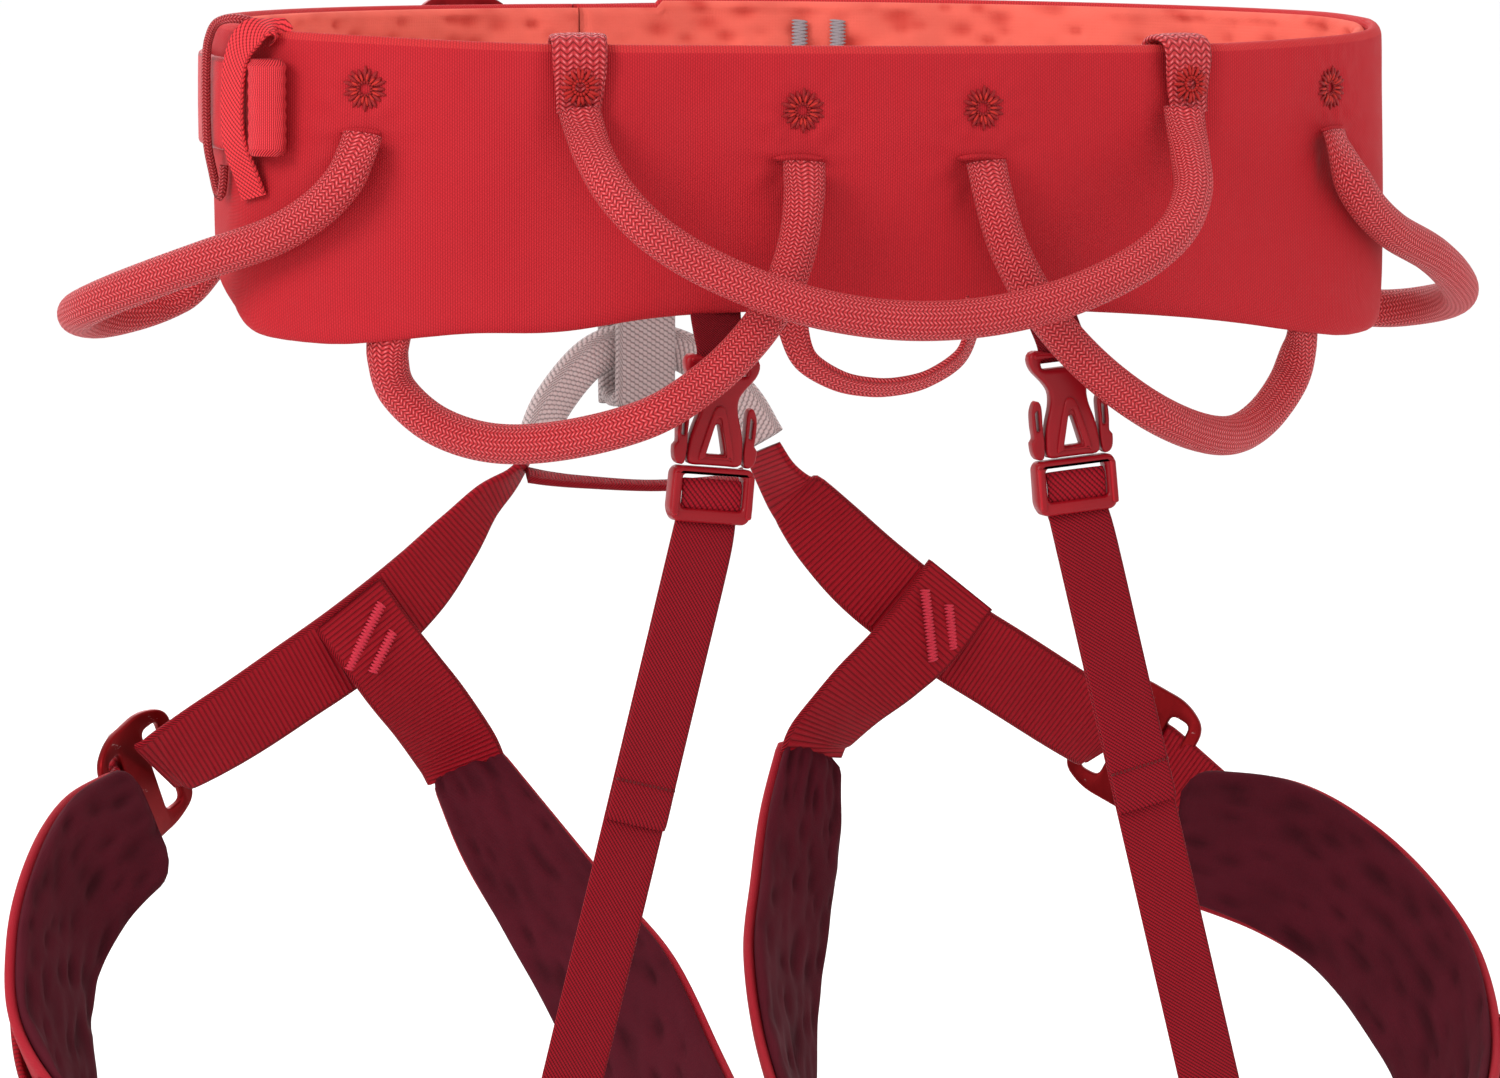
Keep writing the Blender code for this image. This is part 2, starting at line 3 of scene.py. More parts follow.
import bmesh
import bpy
import numpy as np
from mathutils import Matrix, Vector


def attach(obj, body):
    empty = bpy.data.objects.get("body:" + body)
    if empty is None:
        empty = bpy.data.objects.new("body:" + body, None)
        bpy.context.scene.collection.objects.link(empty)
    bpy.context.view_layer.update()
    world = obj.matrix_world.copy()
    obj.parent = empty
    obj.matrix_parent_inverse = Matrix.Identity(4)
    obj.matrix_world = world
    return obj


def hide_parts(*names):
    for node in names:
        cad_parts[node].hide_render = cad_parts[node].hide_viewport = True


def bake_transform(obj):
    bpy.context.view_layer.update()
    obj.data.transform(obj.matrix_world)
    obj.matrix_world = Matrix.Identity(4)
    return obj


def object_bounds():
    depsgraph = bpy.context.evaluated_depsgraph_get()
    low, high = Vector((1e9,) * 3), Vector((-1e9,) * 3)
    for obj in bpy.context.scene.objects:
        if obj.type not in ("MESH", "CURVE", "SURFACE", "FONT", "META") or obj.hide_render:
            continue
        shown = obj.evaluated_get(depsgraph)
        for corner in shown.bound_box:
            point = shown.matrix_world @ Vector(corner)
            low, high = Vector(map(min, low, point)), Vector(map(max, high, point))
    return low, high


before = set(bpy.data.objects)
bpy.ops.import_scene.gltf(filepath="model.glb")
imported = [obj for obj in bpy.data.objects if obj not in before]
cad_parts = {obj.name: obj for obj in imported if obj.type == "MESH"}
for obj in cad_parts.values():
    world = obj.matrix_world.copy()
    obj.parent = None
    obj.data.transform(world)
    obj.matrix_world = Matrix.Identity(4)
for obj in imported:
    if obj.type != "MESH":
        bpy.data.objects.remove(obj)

CAD_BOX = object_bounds()
MM = 0.001

# Camera: behind and to the left of the wearer, slightly above the belt
CAMERA_AZIMUTH = -19.0
CAMERA_ELEVATION = 5.0
CAMERA_DISTANCE = 3.0
CAMERA_TARGET = (-0.0184, 0.0, -0.1035)
CAMERA_LENS = 262.08

# Studio light: name, place in metres, size, power
WORLD_STRENGTH = 1.08
LIGHTS = [("key_light", (-2.9, -1.4, 1.5), 1.6, 60.0), ("fill_light", (1.8, -1.6, 0.5), 1.6, 2.0),
          ("back_light", (0.3, 2.3, 1.3), 1.6, 18.0)]

# Belt, in millimetres (the same plan curve as the CAD model)
HALF_WIDTH = 166.0
REAR_DEPTH = 62.0
FRONT_DEPTH = 138.0
BELT_TOP = 36.0
BELT_ROLL = -0.014
BOTTOM_ANGLES = (0, 25, 42, 55, 68, 80, 92, 108, 130, 155, 180)
BOTTOM_HEIGHTS = (-35.5, -38, -42, -46.4, -47.2, -43.5, -36, -29, -20, -14, -12)
SHELL = 4.0
LINING = 4.0
TIE_POINT = (38.0, 142.0, -96.0)
LEG_AXIS = (118.0, 50.0)

# Colours, linear
BELT_RED = (0.47, 0.014, 0.022)
LINING_CORAL = (0.72, 0.130, 0.095)
LOOP_RED = (0.62, 0.032, 0.040)
WEB_RED = (0.27, 0.003, 0.010)
ELASTIC_RED = (0.21, 0.003, 0.009)
PAD_RED = (0.37, 0.009, 0.021)
MAROON = (0.068, 0.0050, 0.0115)
GREY_WEB = (0.42, 0.34, 0.335)
PLASTIC_RED = (0.25, 0.003, 0.008)


# ---------------------------------------------------------------- curves and surfaces

def unit(v):
    v = np.asarray(v, float)
    return v / np.linalg.norm(v, axis=-1, keepdims=True)


def spline(rows, count, closed=False):
    """Smooth curve through the rows, evenly spaced along the first three columns."""
    rows = np.asarray(rows, float)
    total = len(rows)
    fine = []
    for i in range(total if closed else total - 1):
        if closed:
            p0, p1, p2, p3 = (rows[(i + k) % total] for k in (-1, 0, 1, 2))
        else:
            p1, p2 = rows[i], rows[i + 1]
            p0 = rows[i - 1] if i > 0 else 2 * p1 - p2
            p3 = rows[i + 2] if i + 2 < total else 2 * p2 - p1
        t = np.linspace(0, 1, 24, endpoint=False)[:, None]
        fine.append(0.5 * (2 * p1 + (p2 - p0) * t + (2 * p0 - 5 * p1 + 4 * p2 - p3) * t * t
                           + (3 * p1 - p0 - 3 * p2 + p3) * t ** 3))
    fine = np.concatenate(fine + [rows[:1] if closed else rows[-1:]])
    along = np.concatenate([[0], np.cumsum(np.linalg.norm(np.diff(fine[:, :3], axis=0), axis=1))])
    wanted = np.linspace(0, along[-1], count + 1)[:-1] if closed else np.linspace(0, along[-1], count)
    return np.stack([np.interp(wanted, along, fine[:, k]) for k in range(fine.shape[1])], axis=1)


def frames(centres, outward, closed=False):
    """Width and outward directions across a path, from its tangents and rough outward directions."""
    if closed:
        tangent = np.roll(centres, -1, axis=0) - np.roll(centres, 1, axis=0)
    else:
        tangent = np.gradient(centres, axis=0)
    tangent = unit(tangent)
    width = unit(np.cross(tangent, outward))
    return width, unit(np.cross(width, tangent))


def smooth(x, low, high):
    t = np.clip((np.asarray(x, float) - low) / (high - low), 0, 1)
    return t * t * (3 - 2 * t)


def lengths(points, closed=False):
    """Distance along a row of points, with one more entry when it is closed."""
    if closed:
        points = np.concatenate([points, points[:1]])
    return np.concatenate([[0], np.cumsum(np.linalg.norm(np.diff(points, axis=0), axis=1))])


def grid_piece(name, points, uvs, material, ring=True, closed=False, dip=None):
    """Skin rows of points (millimetres) into a mesh with UVs in millimetres.

    `ring` closes each row on itself, `closed` joins the last row to the first, and open ends
    of rings are capped. `dip` is stored per point, for the lining material.
    """
    points = np.asarray(points, float)
    n, m = points.shape[:2]
    rows = n if closed else n - 1
    cols = m if ring else m - 1
    i, j = np.meshgrid(np.arange(rows), np.arange(cols), indexing="ij")
    i2, j2 = (i + 1) % n, (j + 1) % m
    quads = np.stack([i * m + j, i * m + j2, i2 * m + j2, i2 * m + j], axis=-1).reshape(-1, 4)
    uv = np.stack([uvs[i, j], uvs[i, j + 1], uvs[i + 1, j + 1], uvs[i + 1, j]], axis=-2).reshape(-1, 2)
    faces = quads.tolist()
    corner = [uv]
    if ring and not closed:
        faces.append(list(range(m)))
        faces.append(list(range((n - 1) * m, n * m))[::-1])
        corner += [uvs[0, :m], uvs[n - 1, :m][::-1]]
    corner = np.concatenate(corner)
    mesh = bpy.data.meshes.new(name)
    mesh.from_pydata((points.reshape(-1, 3) * MM).tolist(), [], faces)
    layer = mesh.uv_layers.new(name="UVMap")
    layer.data.foreach_set("uv", corner.astype(np.float32).ravel())
    mesh.polygons.foreach_set("use_smooth", [True] * len(mesh.polygons))
    # dip drives the painted shade in the lining dimples
    if dip is not None:
        attribute = mesh.attributes.new("dip", "FLOAT", "POINT")
        attribute.data.foreach_set("value", np.asarray(dip, np.float32).ravel())
    obj = bpy.data.objects.new(name, mesh)
    bpy.context.scene.collection.objects.link(obj)
    work = bmesh.new()
    work.from_mesh(mesh)
    if ring and work.calc_volume(signed=True) < 0:
        bmesh.ops.reverse_faces(work, faces=work.faces)
    work.to_mesh(mesh)
    work.free()
    mesh.materials.append(material)
    return obj


def set_on(obj, body, *nodes, soft=None):
    """Put a finished piece on its body, in place of the CAD nodes it stands for."""
    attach(obj, body)
    if nodes:
        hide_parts(*nodes)
    return obj


def band_section(width, thick, crown=0.12, edge=4, across=8):
    """Webbing section with rounded selvages: rows of (across, out, v)."""
    r = thick / 2
    top = np.linspace(-1, 1, across)
    flat = width / 2 - r
    points = []
    for t in top:
        points.append((t * flat, thick + crown * (1 - t * t), t * flat))
    for a in np.linspace(90, -90, edge + 2)[1:-1]:
        c, s = math.cos(math.radians(a)), math.sin(math.radians(a))
        points.append((flat + r * c, r + r * s, flat + r * (1.57 - math.radians(a))))
    for t in top[::-1]:
        points.append((t * flat, -crown * 0.4 * (1 - t * t), t * flat))
    for a in np.linspace(-90, 90, edge + 2)[1:-1]:
        c, s = math.cos(math.radians(a)), math.sin(math.radians(a))
        points.append((-flat - r * c, r + r * s, -flat - r * (1.57 - math.radians(-a))))
    return np.array(points)


def ribbon(name, rows, outward, width, thick, material, step=1.6, lift=0.0, closed=False, crown=0.12,
           ripple=0.0):
    """Webbing along a smooth path. Rows may carry a width (4th column) and a thickness (5th)."""
    rows = np.asarray(rows, float)
    count = max(8, int(lengths(spline(rows, 60, closed)[:, :3])[-1] / step))
    if not callable(outward) and np.ndim(outward) == 2:
        sizes = rows[:, 3:] if rows.shape[1] > 3 else np.full((len(rows), 1), width)
        rows = np.concatenate([rows[:, :3], sizes, np.asarray(outward, float)], axis=1)
    path = spline(rows, count, closed)
    centres = path[:, :3]
    if callable(outward):
        directions = outward(centres)
    elif np.ndim(outward) == 2:
        directions = unit(path[:, -3:])
    else:
        directions = np.tile(outward, (count, 1))
    across, out = frames(centres, directions, closed)
    extra = path[:, 3:-3] if (not callable(outward) and np.ndim(outward) == 2) else path[:, 3:]
    widths = extra[:, 0] if extra.shape[1] > 0 else np.full(count, width)
    thicks = extra[:, 1] if extra.shape[1] > 1 else np.full(count, thick)
    along = lengths(centres, closed)
    if ripple:
        out_shift = ripple * np.sin(along[:count] / 7.0) * np.sin(along[:count] / 17.0 + 1)
        centres = centres + out * out_shift[:, None]
    points, uvs = [], []
    for i in range(count):
        s = band_section(widths[i], thicks[i], crown)
        points.append(centres[i] + across[i] * s[:, :1] + out[i] * (s[:, 1:2] + lift))
        uvs.append(np.stack([np.full(len(s) + 1, along[i]), np.append(s[:, 2], s[0, 2])], axis=1))
    if closed:
        uvs.append(uvs[0] + [along[-1], 0])
    return grid_piece(name, points, np.array(uvs), material, closed=closed)


def join(name, objects):
    """Several meshes of one material set become one piece."""
    work = bmesh.new()
    slots = []
    for o in objects:
        start = len(work.faces)
        work.from_mesh(o.data)
        work.faces.ensure_lookup_table()
        for f in list(work.faces)[start:]:
            material = o.data.materials[f.material_index] if o.data.materials else None
            if material not in slots:
                slots.append(material)
            f.material_index = slots.index(material)
    mesh = bpy.data.meshes.new(name)
    work.to_mesh(mesh)
    work.free()
    for material in slots:
        mesh.materials.append(material)
    for o in objects:
        bpy.data.objects.remove(o, do_unlink=True)
    obj = bpy.data.objects.new(name, mesh)
    bpy.context.scene.collection.objects.link(obj)
    return obj


def stitch_row(name, segments, material, radius=0.24, arch=0.35, sides=6, steps=6):
    """Threads: each segment (start, end, outward) becomes a small arched tube of yarn."""
    vertices, faces, uvs = [], [], []
    for start, end, out in segments:
        start, end, out = (np.asarray(v, float) for v in (start, end, out))
        t = np.linspace(0, 1, steps)
        centre = start + (end - start) * t[:, None] + out * (arch * np.sin(math.pi * t) - radius * 0.3)[:, None]
        axis = unit(end - start)
        side = unit(np.cross(axis, out))
        base = len(vertices)
        long = np.linalg.norm(end - start)
        for k in range(steps):
            thin = 0.55 + 0.45 * math.sin(math.pi * t[k]) ** 0.5 if 0 < k < steps - 1 else 0.35
            for q in range(sides):
                a = 2 * math.pi * q / sides
                vertices.append(centre[k] + (side * math.cos(a) + out * math.sin(a)) * radius * thin)
        for k in range(steps - 1):
            for q in range(sides):
                n = (q + 1) % sides
                faces.append((base + k * sides + q, base + k * sides + n,
                              base + (k + 1) * sides + n, base + (k + 1) * sides + q))
                u0, u1 = t[k] * long, t[k + 1] * long
                uvs += [(u0, q * 0.25), (u0, (q + 1) * 0.25), (u1, (q + 1) * 0.25), (u1, q * 0.25)]
        faces.append(tuple(base + q for q in range(sides))[::-1])
        faces.append(tuple(base + (steps - 1) * sides + q for q in range(sides)))
        uvs += [(0, 0)] * (2 * sides)
    mesh = bpy.data.meshes.new(name)
    mesh.from_pydata([tuple(v * MM) for v in vertices], [], faces)
    layer = mesh.uv_layers.new(name="UVMap")
    layer.data.foreach_set("uv", np.array(uvs, np.float32).ravel())
    mesh.polygons.foreach_set("use_smooth", [True] * len(mesh.polygons))
    mesh.materials.append(material)
    work = bmesh.new()
    work.from_mesh(mesh)
    bmesh.ops.recalc_face_normals(work, faces=work.faces)
    work.to_mesh(mesh)
    work.free()
    obj = bpy.data.objects.new(name, mesh)
    bpy.context.scene.collection.objects.link(obj)
    return obj


def zigzag(centre, along, across, out, length, width, pitch=0.75):
    """Bartack: tight zigzag stitches over a rectangle."""
    centre, along, across, out = (np.asarray(v, float) for v in (centre, along, across, out))
    count = int(length / pitch)
    result = []
    for k in range(count):
        a = centre + along * (k * pitch - length / 2) + across * (width / 2)
        b = centre + along * ((k + 0.5) * pitch - length / 2) - across * (width / 2)
        c = centre + along * ((k + 1) * pitch - length / 2) + across * (width / 2)
        result += [(a, b, out), (b, c, out)]
    return result


# ---------------------------------------------------------------- materials

class Graph:
    """Writes a material's node tree as short expressions."""

    def __init__(self, name):
        self.material = bpy.data.materials.new(name)
        self.material.use_nodes = True
        self.tree = self.material.node_tree
        self.shader = self.tree.nodes["Principled BSDF"]
        uv = self.add("ShaderNodeUVMap", uv_map="UVMap")
        split = self.add("ShaderNodeSeparateXYZ")
        self.tree.links.new(uv.outputs[0], split.inputs[0])
        self.u, self.v = split.outputs[0], split.outputs[1]

    def add(self, kind, **settings):
        node = self.tree.nodes.new(kind)
        for key, value in settings.items():
            setattr(node, key, value)
        return node

    def feed(self, socket, value):
        if isinstance(value, bpy.types.NodeSocket):
            self.tree.links.new(value, socket)
        else:
            socket.default_value = value

    def math(self, operation, *values):
        node = self.add("ShaderNodeMath", operation=operation)
        for socket, value in zip(node.inputs, values):
            self.feed(socket, value)
        return node.outputs[0]

    def plus(self, a, b):
        return self.math("ADD", a, b)

    def times(self, a, b):
        return self.math("MULTIPLY", a, b)

    def wave(self, x, pitch, shift=0.0):
        """0 to 1 and back, once per pitch."""
        phase = self.math("MULTIPLY_ADD", x, 2 * math.pi / pitch, shift)
        return self.math("MULTIPLY_ADD", self.math("SINE", phase), 0.5, 0.5)

    def rib(self, x, pitch, shift=0.0):
        """Rounded ridges with sharp valleys."""
        phase = self.math("MULTIPLY_ADD", x, math.pi / pitch, shift)
        return self.math("ABSOLUTE", self.math("SINE", phase))

    def noise(self, scale, detail=3.0, roughness=0.55, stretch=None):
        where = self.add("ShaderNodeTexCoord").outputs["Object"]
        if stretch:
            mapping = self.add("ShaderNodeMapping")
            self.feed(mapping.inputs["Vector"], where)
            mapping.inputs["Scale"].default_value = stretch
            where = mapping.outputs[0]
        node = self.add("ShaderNodeTexNoise")
        self.feed(node.inputs["Vector"], where)
        node.inputs["Scale"].default_value = scale
        node.inputs["Detail"].default_value = detail
        node.inputs["Roughness"].default_value = roughness
        return node.outputs[0]

    def attribute(self, name):
        return self.add("ShaderNodeAttribute", attribute_name=name).outputs["Fac"]

    def limits(self, x, low, high, to_low=0.0, to_high=1.0, kind="SMOOTHSTEP"):
        node = self.add("ShaderNodeMapRange", interpolation_type=kind)
        for socket, value in zip(node.inputs, (x, low, high, to_low, to_high)):
            self.feed(socket, value)
        return node.outputs[0]

    def mix(self, share, a, b, kind="MIX"):
        node = self.add("ShaderNodeMix", data_type="RGBA", blend_type=kind)
        self.feed(node.inputs[0], share)
        for socket, value in ((node.inputs[6], a), (node.inputs[7], b)):
            self.feed(socket, (*value, 1.0) if isinstance(value, tuple) and len(value) == 3 else value)
        return node.outputs[2]

    def finish(self, colour, rough, height=None, depth=0.0002, strength=0.8, sheen=0.0, sheen_tint=None,
               metallic=0.0, coat=0.0, specular=0.5):
        s = self.shader.inputs
        self.feed(s["Base Color"], (*colour, 1.0) if isinstance(colour, tuple) else colour)
        self.feed(s["Roughness"], rough)
        s["Metallic"].default_value = metallic
        s["Specular IOR Level"].default_value = specular
        if sheen:
            s["Sheen Weight"].default_value = sheen
            s["Sheen Roughness"].default_value = 0.45
            s["Sheen Tint"].default_value = (*(sheen_tint or (1, 1, 1)), 1.0)
        if coat:
            s["Coat Weight"].default_value = coat
            s["Coat Roughness"].default_value = 0.12
        if height is not None:
            bump = self.add("ShaderNodeBump")
            bump.inputs["Strength"].default_value = strength
            bump.inputs["Distance"].default_value = depth
            self.feed(bump.inputs["Height"], height)
            self.feed(s["Normal"], bump.outputs[0])
        return self.material


def shade(colour, factor):
    return tuple(min(1.0, c * factor) for c in colour)


def knit_material(name, colour, rib=0.66, stitch=0.95):
    """Fine vertical ribs of small loops, like a stretch woven belt cover."""
    g = Graph(name)
    column = g.math("FLOOR", g.times(g.u, 1 / rib))
    parity = g.math("PINGPONG", column, 1.0)
    ridge = g.rib(g.u, rib)
    loop = g.wave(g.plus(g.v, g.times(parity, stitch / 2)), stitch)
    height = g.times(ridge, g.math("MULTIPLY_ADD", loop, 0.5, 0.5))
    cloudy = g.noise(14, 3)
    shaded = g.mix(height, shade(colour, 0.66), shade(colour, 1.16))
    varied = g.mix(g.limits(cloudy, 0.3, 0.7), g.mix(0.12, shaded, shade(colour, 0.6)), shaded)
    rough = g.math("MULTIPLY_ADD", g.noise(160, 2), 0.2, 0.58)
    fine = g.plus(g.times(height, 0.8), g.times(g.noise(900, 2), 0.25))
    return g.finish(varied, rough, fine, 0.00020, 0.8, sheen=0.05, sheen_tint=(1, 0.35, 0.3), specular=0.14)


def plush_material(name, colour, dark, sheen=0.5):
    """Brushed lining: soft, with darker dips, painted shade where the dimples sink."""
    g = Graph(name)
    dips = g.attribute("dip")
    nap = g.noise(420, 4, 0.65)
    cloud = g.noise(45, 3)
    base = g.mix(g.limits(cloud, 0.3, 0.7), shade(colour, 0.9), shade(colour, 1.08))
    # painted shade: the dark colour fills the dimples, keyed to the dip attribute
    base = g.mix(g.limits(dips, 0.05, 1.3), base, dark)
    # painted sheen: lighter nap, used only when sheen is above 0.9
    base = g.mix(g.limits(nap, 0.35, 0.75), base, shade(colour, 1.12), "MIX") if sheen > 0.9 else base
    rough = g.math("MULTIPLY_ADD", nap, 0.2, 0.72)
    mesh_weave = g.times(g.rib(g.u, 0.9), g.rib(g.v, 0.9))
    height = g.plus(g.times(nap, 0.7), g.times(mesh_weave, 0.3))
    return g.finish(base, rough, height, 0.00022, 0.6, sheen=sheen,
                    sheen_tint=shade(colour, 1.3), specular=0.10)


def braid_material(name, colour, column=1.5, pitch=1.2, slope=0.7):
    """Sheath of interlocked yarns: columns of slanting strokes that lean left and right in turn, with painted
    shade in the gaps and a painted highlight on the strand tops.
    """
    g = Graph(name)
    fold = g.math("PINGPONG", g.v, column)
    phase = g.times(g.math("MULTIPLY_ADD", fold, slope, g.u), math.pi / pitch)
    strand = g.math("POWER", g.math("ABSOLUTE", g.math("SINE", phase)), 0.75)
    hump = g.math("MAXIMUM", g.math("SINE", g.times(fold, math.pi / column)), 0.0)
    body = g.math("MULTIPLY_ADD", g.math("POWER", hump, 0.5), 0.65, 0.35)
    height = g.times(strand, body)
    fibre = g.rib(g.math("MULTIPLY_ADD", fold, -1.3, g.u), 0.24)
    # painted shade in the gaps between strands (dark) and a painted highlight on the strand tops (light)
    dark = (colour[0] * 0.36, colour[1] * 0.10, colour[2] * 0.13)
    light = (colour[0] * 1.40, colour[1] * 5.0 + 0.03, colour[2] * 4.3 + 0.03)
    deep = g.mix(g.limits(height, 0.18, 0.60), dark, colour)
    lit = g.mix(g.limits(height, 0.84, 1.0), deep, light)
    cloudy = g.mix(g.limits(g.noise(30, 2), 0.3, 0.7), g.mix(0.12, lit, shade(colour, 0.5)), lit)
    rough = g.math("MULTIPLY_ADD", height, -0.14, 0.62)
    total = g.plus(height, g.times(fibre, 0.10))
    return g.finish(cloudy, rough, total, 0.00050, 1.0, sheen=0.06, sheen_tint=(1, 0.4, 0.4), specular=0.25)


def webbing_material(name, colour, width, rib=1.45, lit=1.35, edge_rib=0.9, gloss=0.5):
    """Flat woven webbing: ribs across, fine warp yarns along, and a tighter selvage."""
    g = Graph(name)
    weft = g.math("POWER", g.rib(g.u, rib), 0.7)
    warp = g.rib(g.plus(g.v, g.times(g.wave(g.u, 2 * rib), 0.18)), 0.42)
    border = g.limits(g.math("ABSOLUTE", g.v), width / 2 - 1.6, width / 2 - 1.1)
    edge = g.rib(g.plus(g.u, g.v), edge_rib)
    height = g.plus(g.times(weft, 0.75), g.times(warp, 0.25))
    height = g.plus(g.times(height, g.math("SUBTRACT", 1.0, border)), g.times(edge, g.times(border, 0.9)))
    # painted shade between the ribs, and through lit a painted highlight on the rib tops
    base = g.mix(g.limits(height, 0.1, 0.8), shade(colour, 0.40), shade(colour, 1.15))
    base = g.mix(g.limits(height, 0.8, 1.0), base, shade(colour, lit))
    cloudy = g.noise(38, 3)
    base = g.mix(g.limits(cloudy, 0.3, 0.7), g.mix(0.14, base, shade(colour, 0.55)), base)
    rough = g.math("MULTIPLY_ADD", g.noise(220, 2), 0.18, gloss)
    return g.finish(base, rough, height, 0.00040, 0.9, sheen=0.05, sheen_tint=shade(colour, 2.5), specular=0.14)


def twill_material(name, colour, pitch=1.15, slant=1.0, lit=1.25):
    """Elastic with fine diagonal lines of small dashes."""
    g = Graph(name)
    line = g.rib(g.math("MULTIPLY_ADD", g.v, slant, g.u), pitch)
    dash = g.wave(g.math("MULTIPLY_ADD", g.v, -slant, g.u), pitch * 0.8)
    height = g.times(g.math("POWER", line, 0.8), g.math("MULTIPLY_ADD", dash, 0.5, 0.5))
    # painted shade in the grooves, and through lit a painted highlight on the dashes
    base = g.mix(g.limits(height, 0.05, 0.7), shade(colour, 0.22), shade(colour, lit * 1.1))
    base = g.mix(g.limits(g.noise(50, 3), 0.3, 0.7), g.mix(0.12, base, shade(colour, 0.6)), base)
    rough = g.math("MULTIPLY_ADD", g.noise(200, 2), 0.15, 0.6)
    return g.finish(base, rough, height, 0.00034, 0.9, sheen=0.05, sheen_tint=shade(colour, 2.5), specular=0.12)


def sling_material(name, colour):
    """Pale polyamide webbing: lengthwise columns of short slanting dashes."""
    g = Graph(name)
    column = 1.25
    parity = g.math("PINGPONG", g.math("FLOOR", g.times(g.v, 1 / column)), 1.0)
    lean = g.math("MULTIPLY_ADD", g.math("FRACT", g.times(g.v, 1 / column)), 0.45, g.u)
    dash = g.rib(g.math("MULTIPLY_ADD", parity, 0.8, lean), 1.6)
    groove = g.math("POWER", g.rib(g.v, column), 0.6)
    height = g.times(dash, g.math("MULTIPLY_ADD", groove, 0.55, 0.45))
    # painted shade in the grooves and a painted highlight on the dashes
    base = g.mix(g.limits(height, 0.1, 0.75), shade(colour, 0.52), shade(colour, 1.12))
    base = g.mix(g.limits(g.noise(60, 3), 0.35, 0.7), g.mix(0.15, base, shade(colour, 0.7)), base)
    rough = g.math("MULTIPLY_ADD", g.noise(220, 2), 0.15, 0.62)
    return g.finish(base, rough, height, 0.00034, 0.9, sheen=0.08, specular=0.2)


def plastic_material(name, colour, rough=0.34):
    """Injection-moulded buckle plastic with faint texture and lighter edges, a painted highlight along the
    convex edges.
    """
    g = Graph(name)
    grain = g.noise(1500, 2)
    smear = g.noise(60, 3)
    edge = g.add("ShaderNodeNewGeometry").outputs["Pointiness"]
    base = g.mix(g.limits(smear, 0.35, 0.7), shade(colour, 0.92), shade(colour, 1.06))
    # painted highlight: convex edges (pointiness) lightened to 1.5 times the colour
    base = g.mix(g.limits(edge, 0.52, 0.62), base, shade(colour, 1.5))
    roughness = g.math("MULTIPLY_ADD", smear, 0.16, rough - 0.08)
    return g.finish(base, roughness, grain, 0.00004, 0.3, specular=0.20)


def metal_material(name, colour, rough=0.3, brushed=0.0):
    g = Graph(name)
    smear = g.noise(90, 3)
    lines = g.noise(900, 2, stretch=(1.0, 1.0, 0.06))
    scratch = g.limits(g.noise(260, 4, 0.8, stretch=(0.15, 1.0, 1.0)), 0.62, 0.7)
    base = g.mix(g.limits(smear, 0.3, 0.7), shade(colour, 0.86), shade(colour, 1.08))
    base = g.mix(g.times(scratch, 0.35), base, (0.75, 0.68, 0.66))
    roughness = g.math("MULTIPLY_ADD", lines, 0.2, rough - 0.05)
    return g.finish(base, roughness, lines, 0.00003, 0.35 + brushed, metallic=1.0)


def thread_material(name, colour):
    """Sewing yarn with its twist."""
    g = Graph(name)
    twist = g.rib(g.math("MULTIPLY_ADD", g.v, 1.5, g.u), 0.45)
    # painted shade in the twist grooves and a painted highlight on the ridges
    base = g.mix(twist, shade(colour, 0.6), shade(colour, 1.2))
    rough = g.math("MULTIPLY_ADD", g.noise(400, 2), 0.2, 0.42)
    return g.finish(base, rough, twist, 0.0001, 0.6, sheen=0.05, specular=0.2)


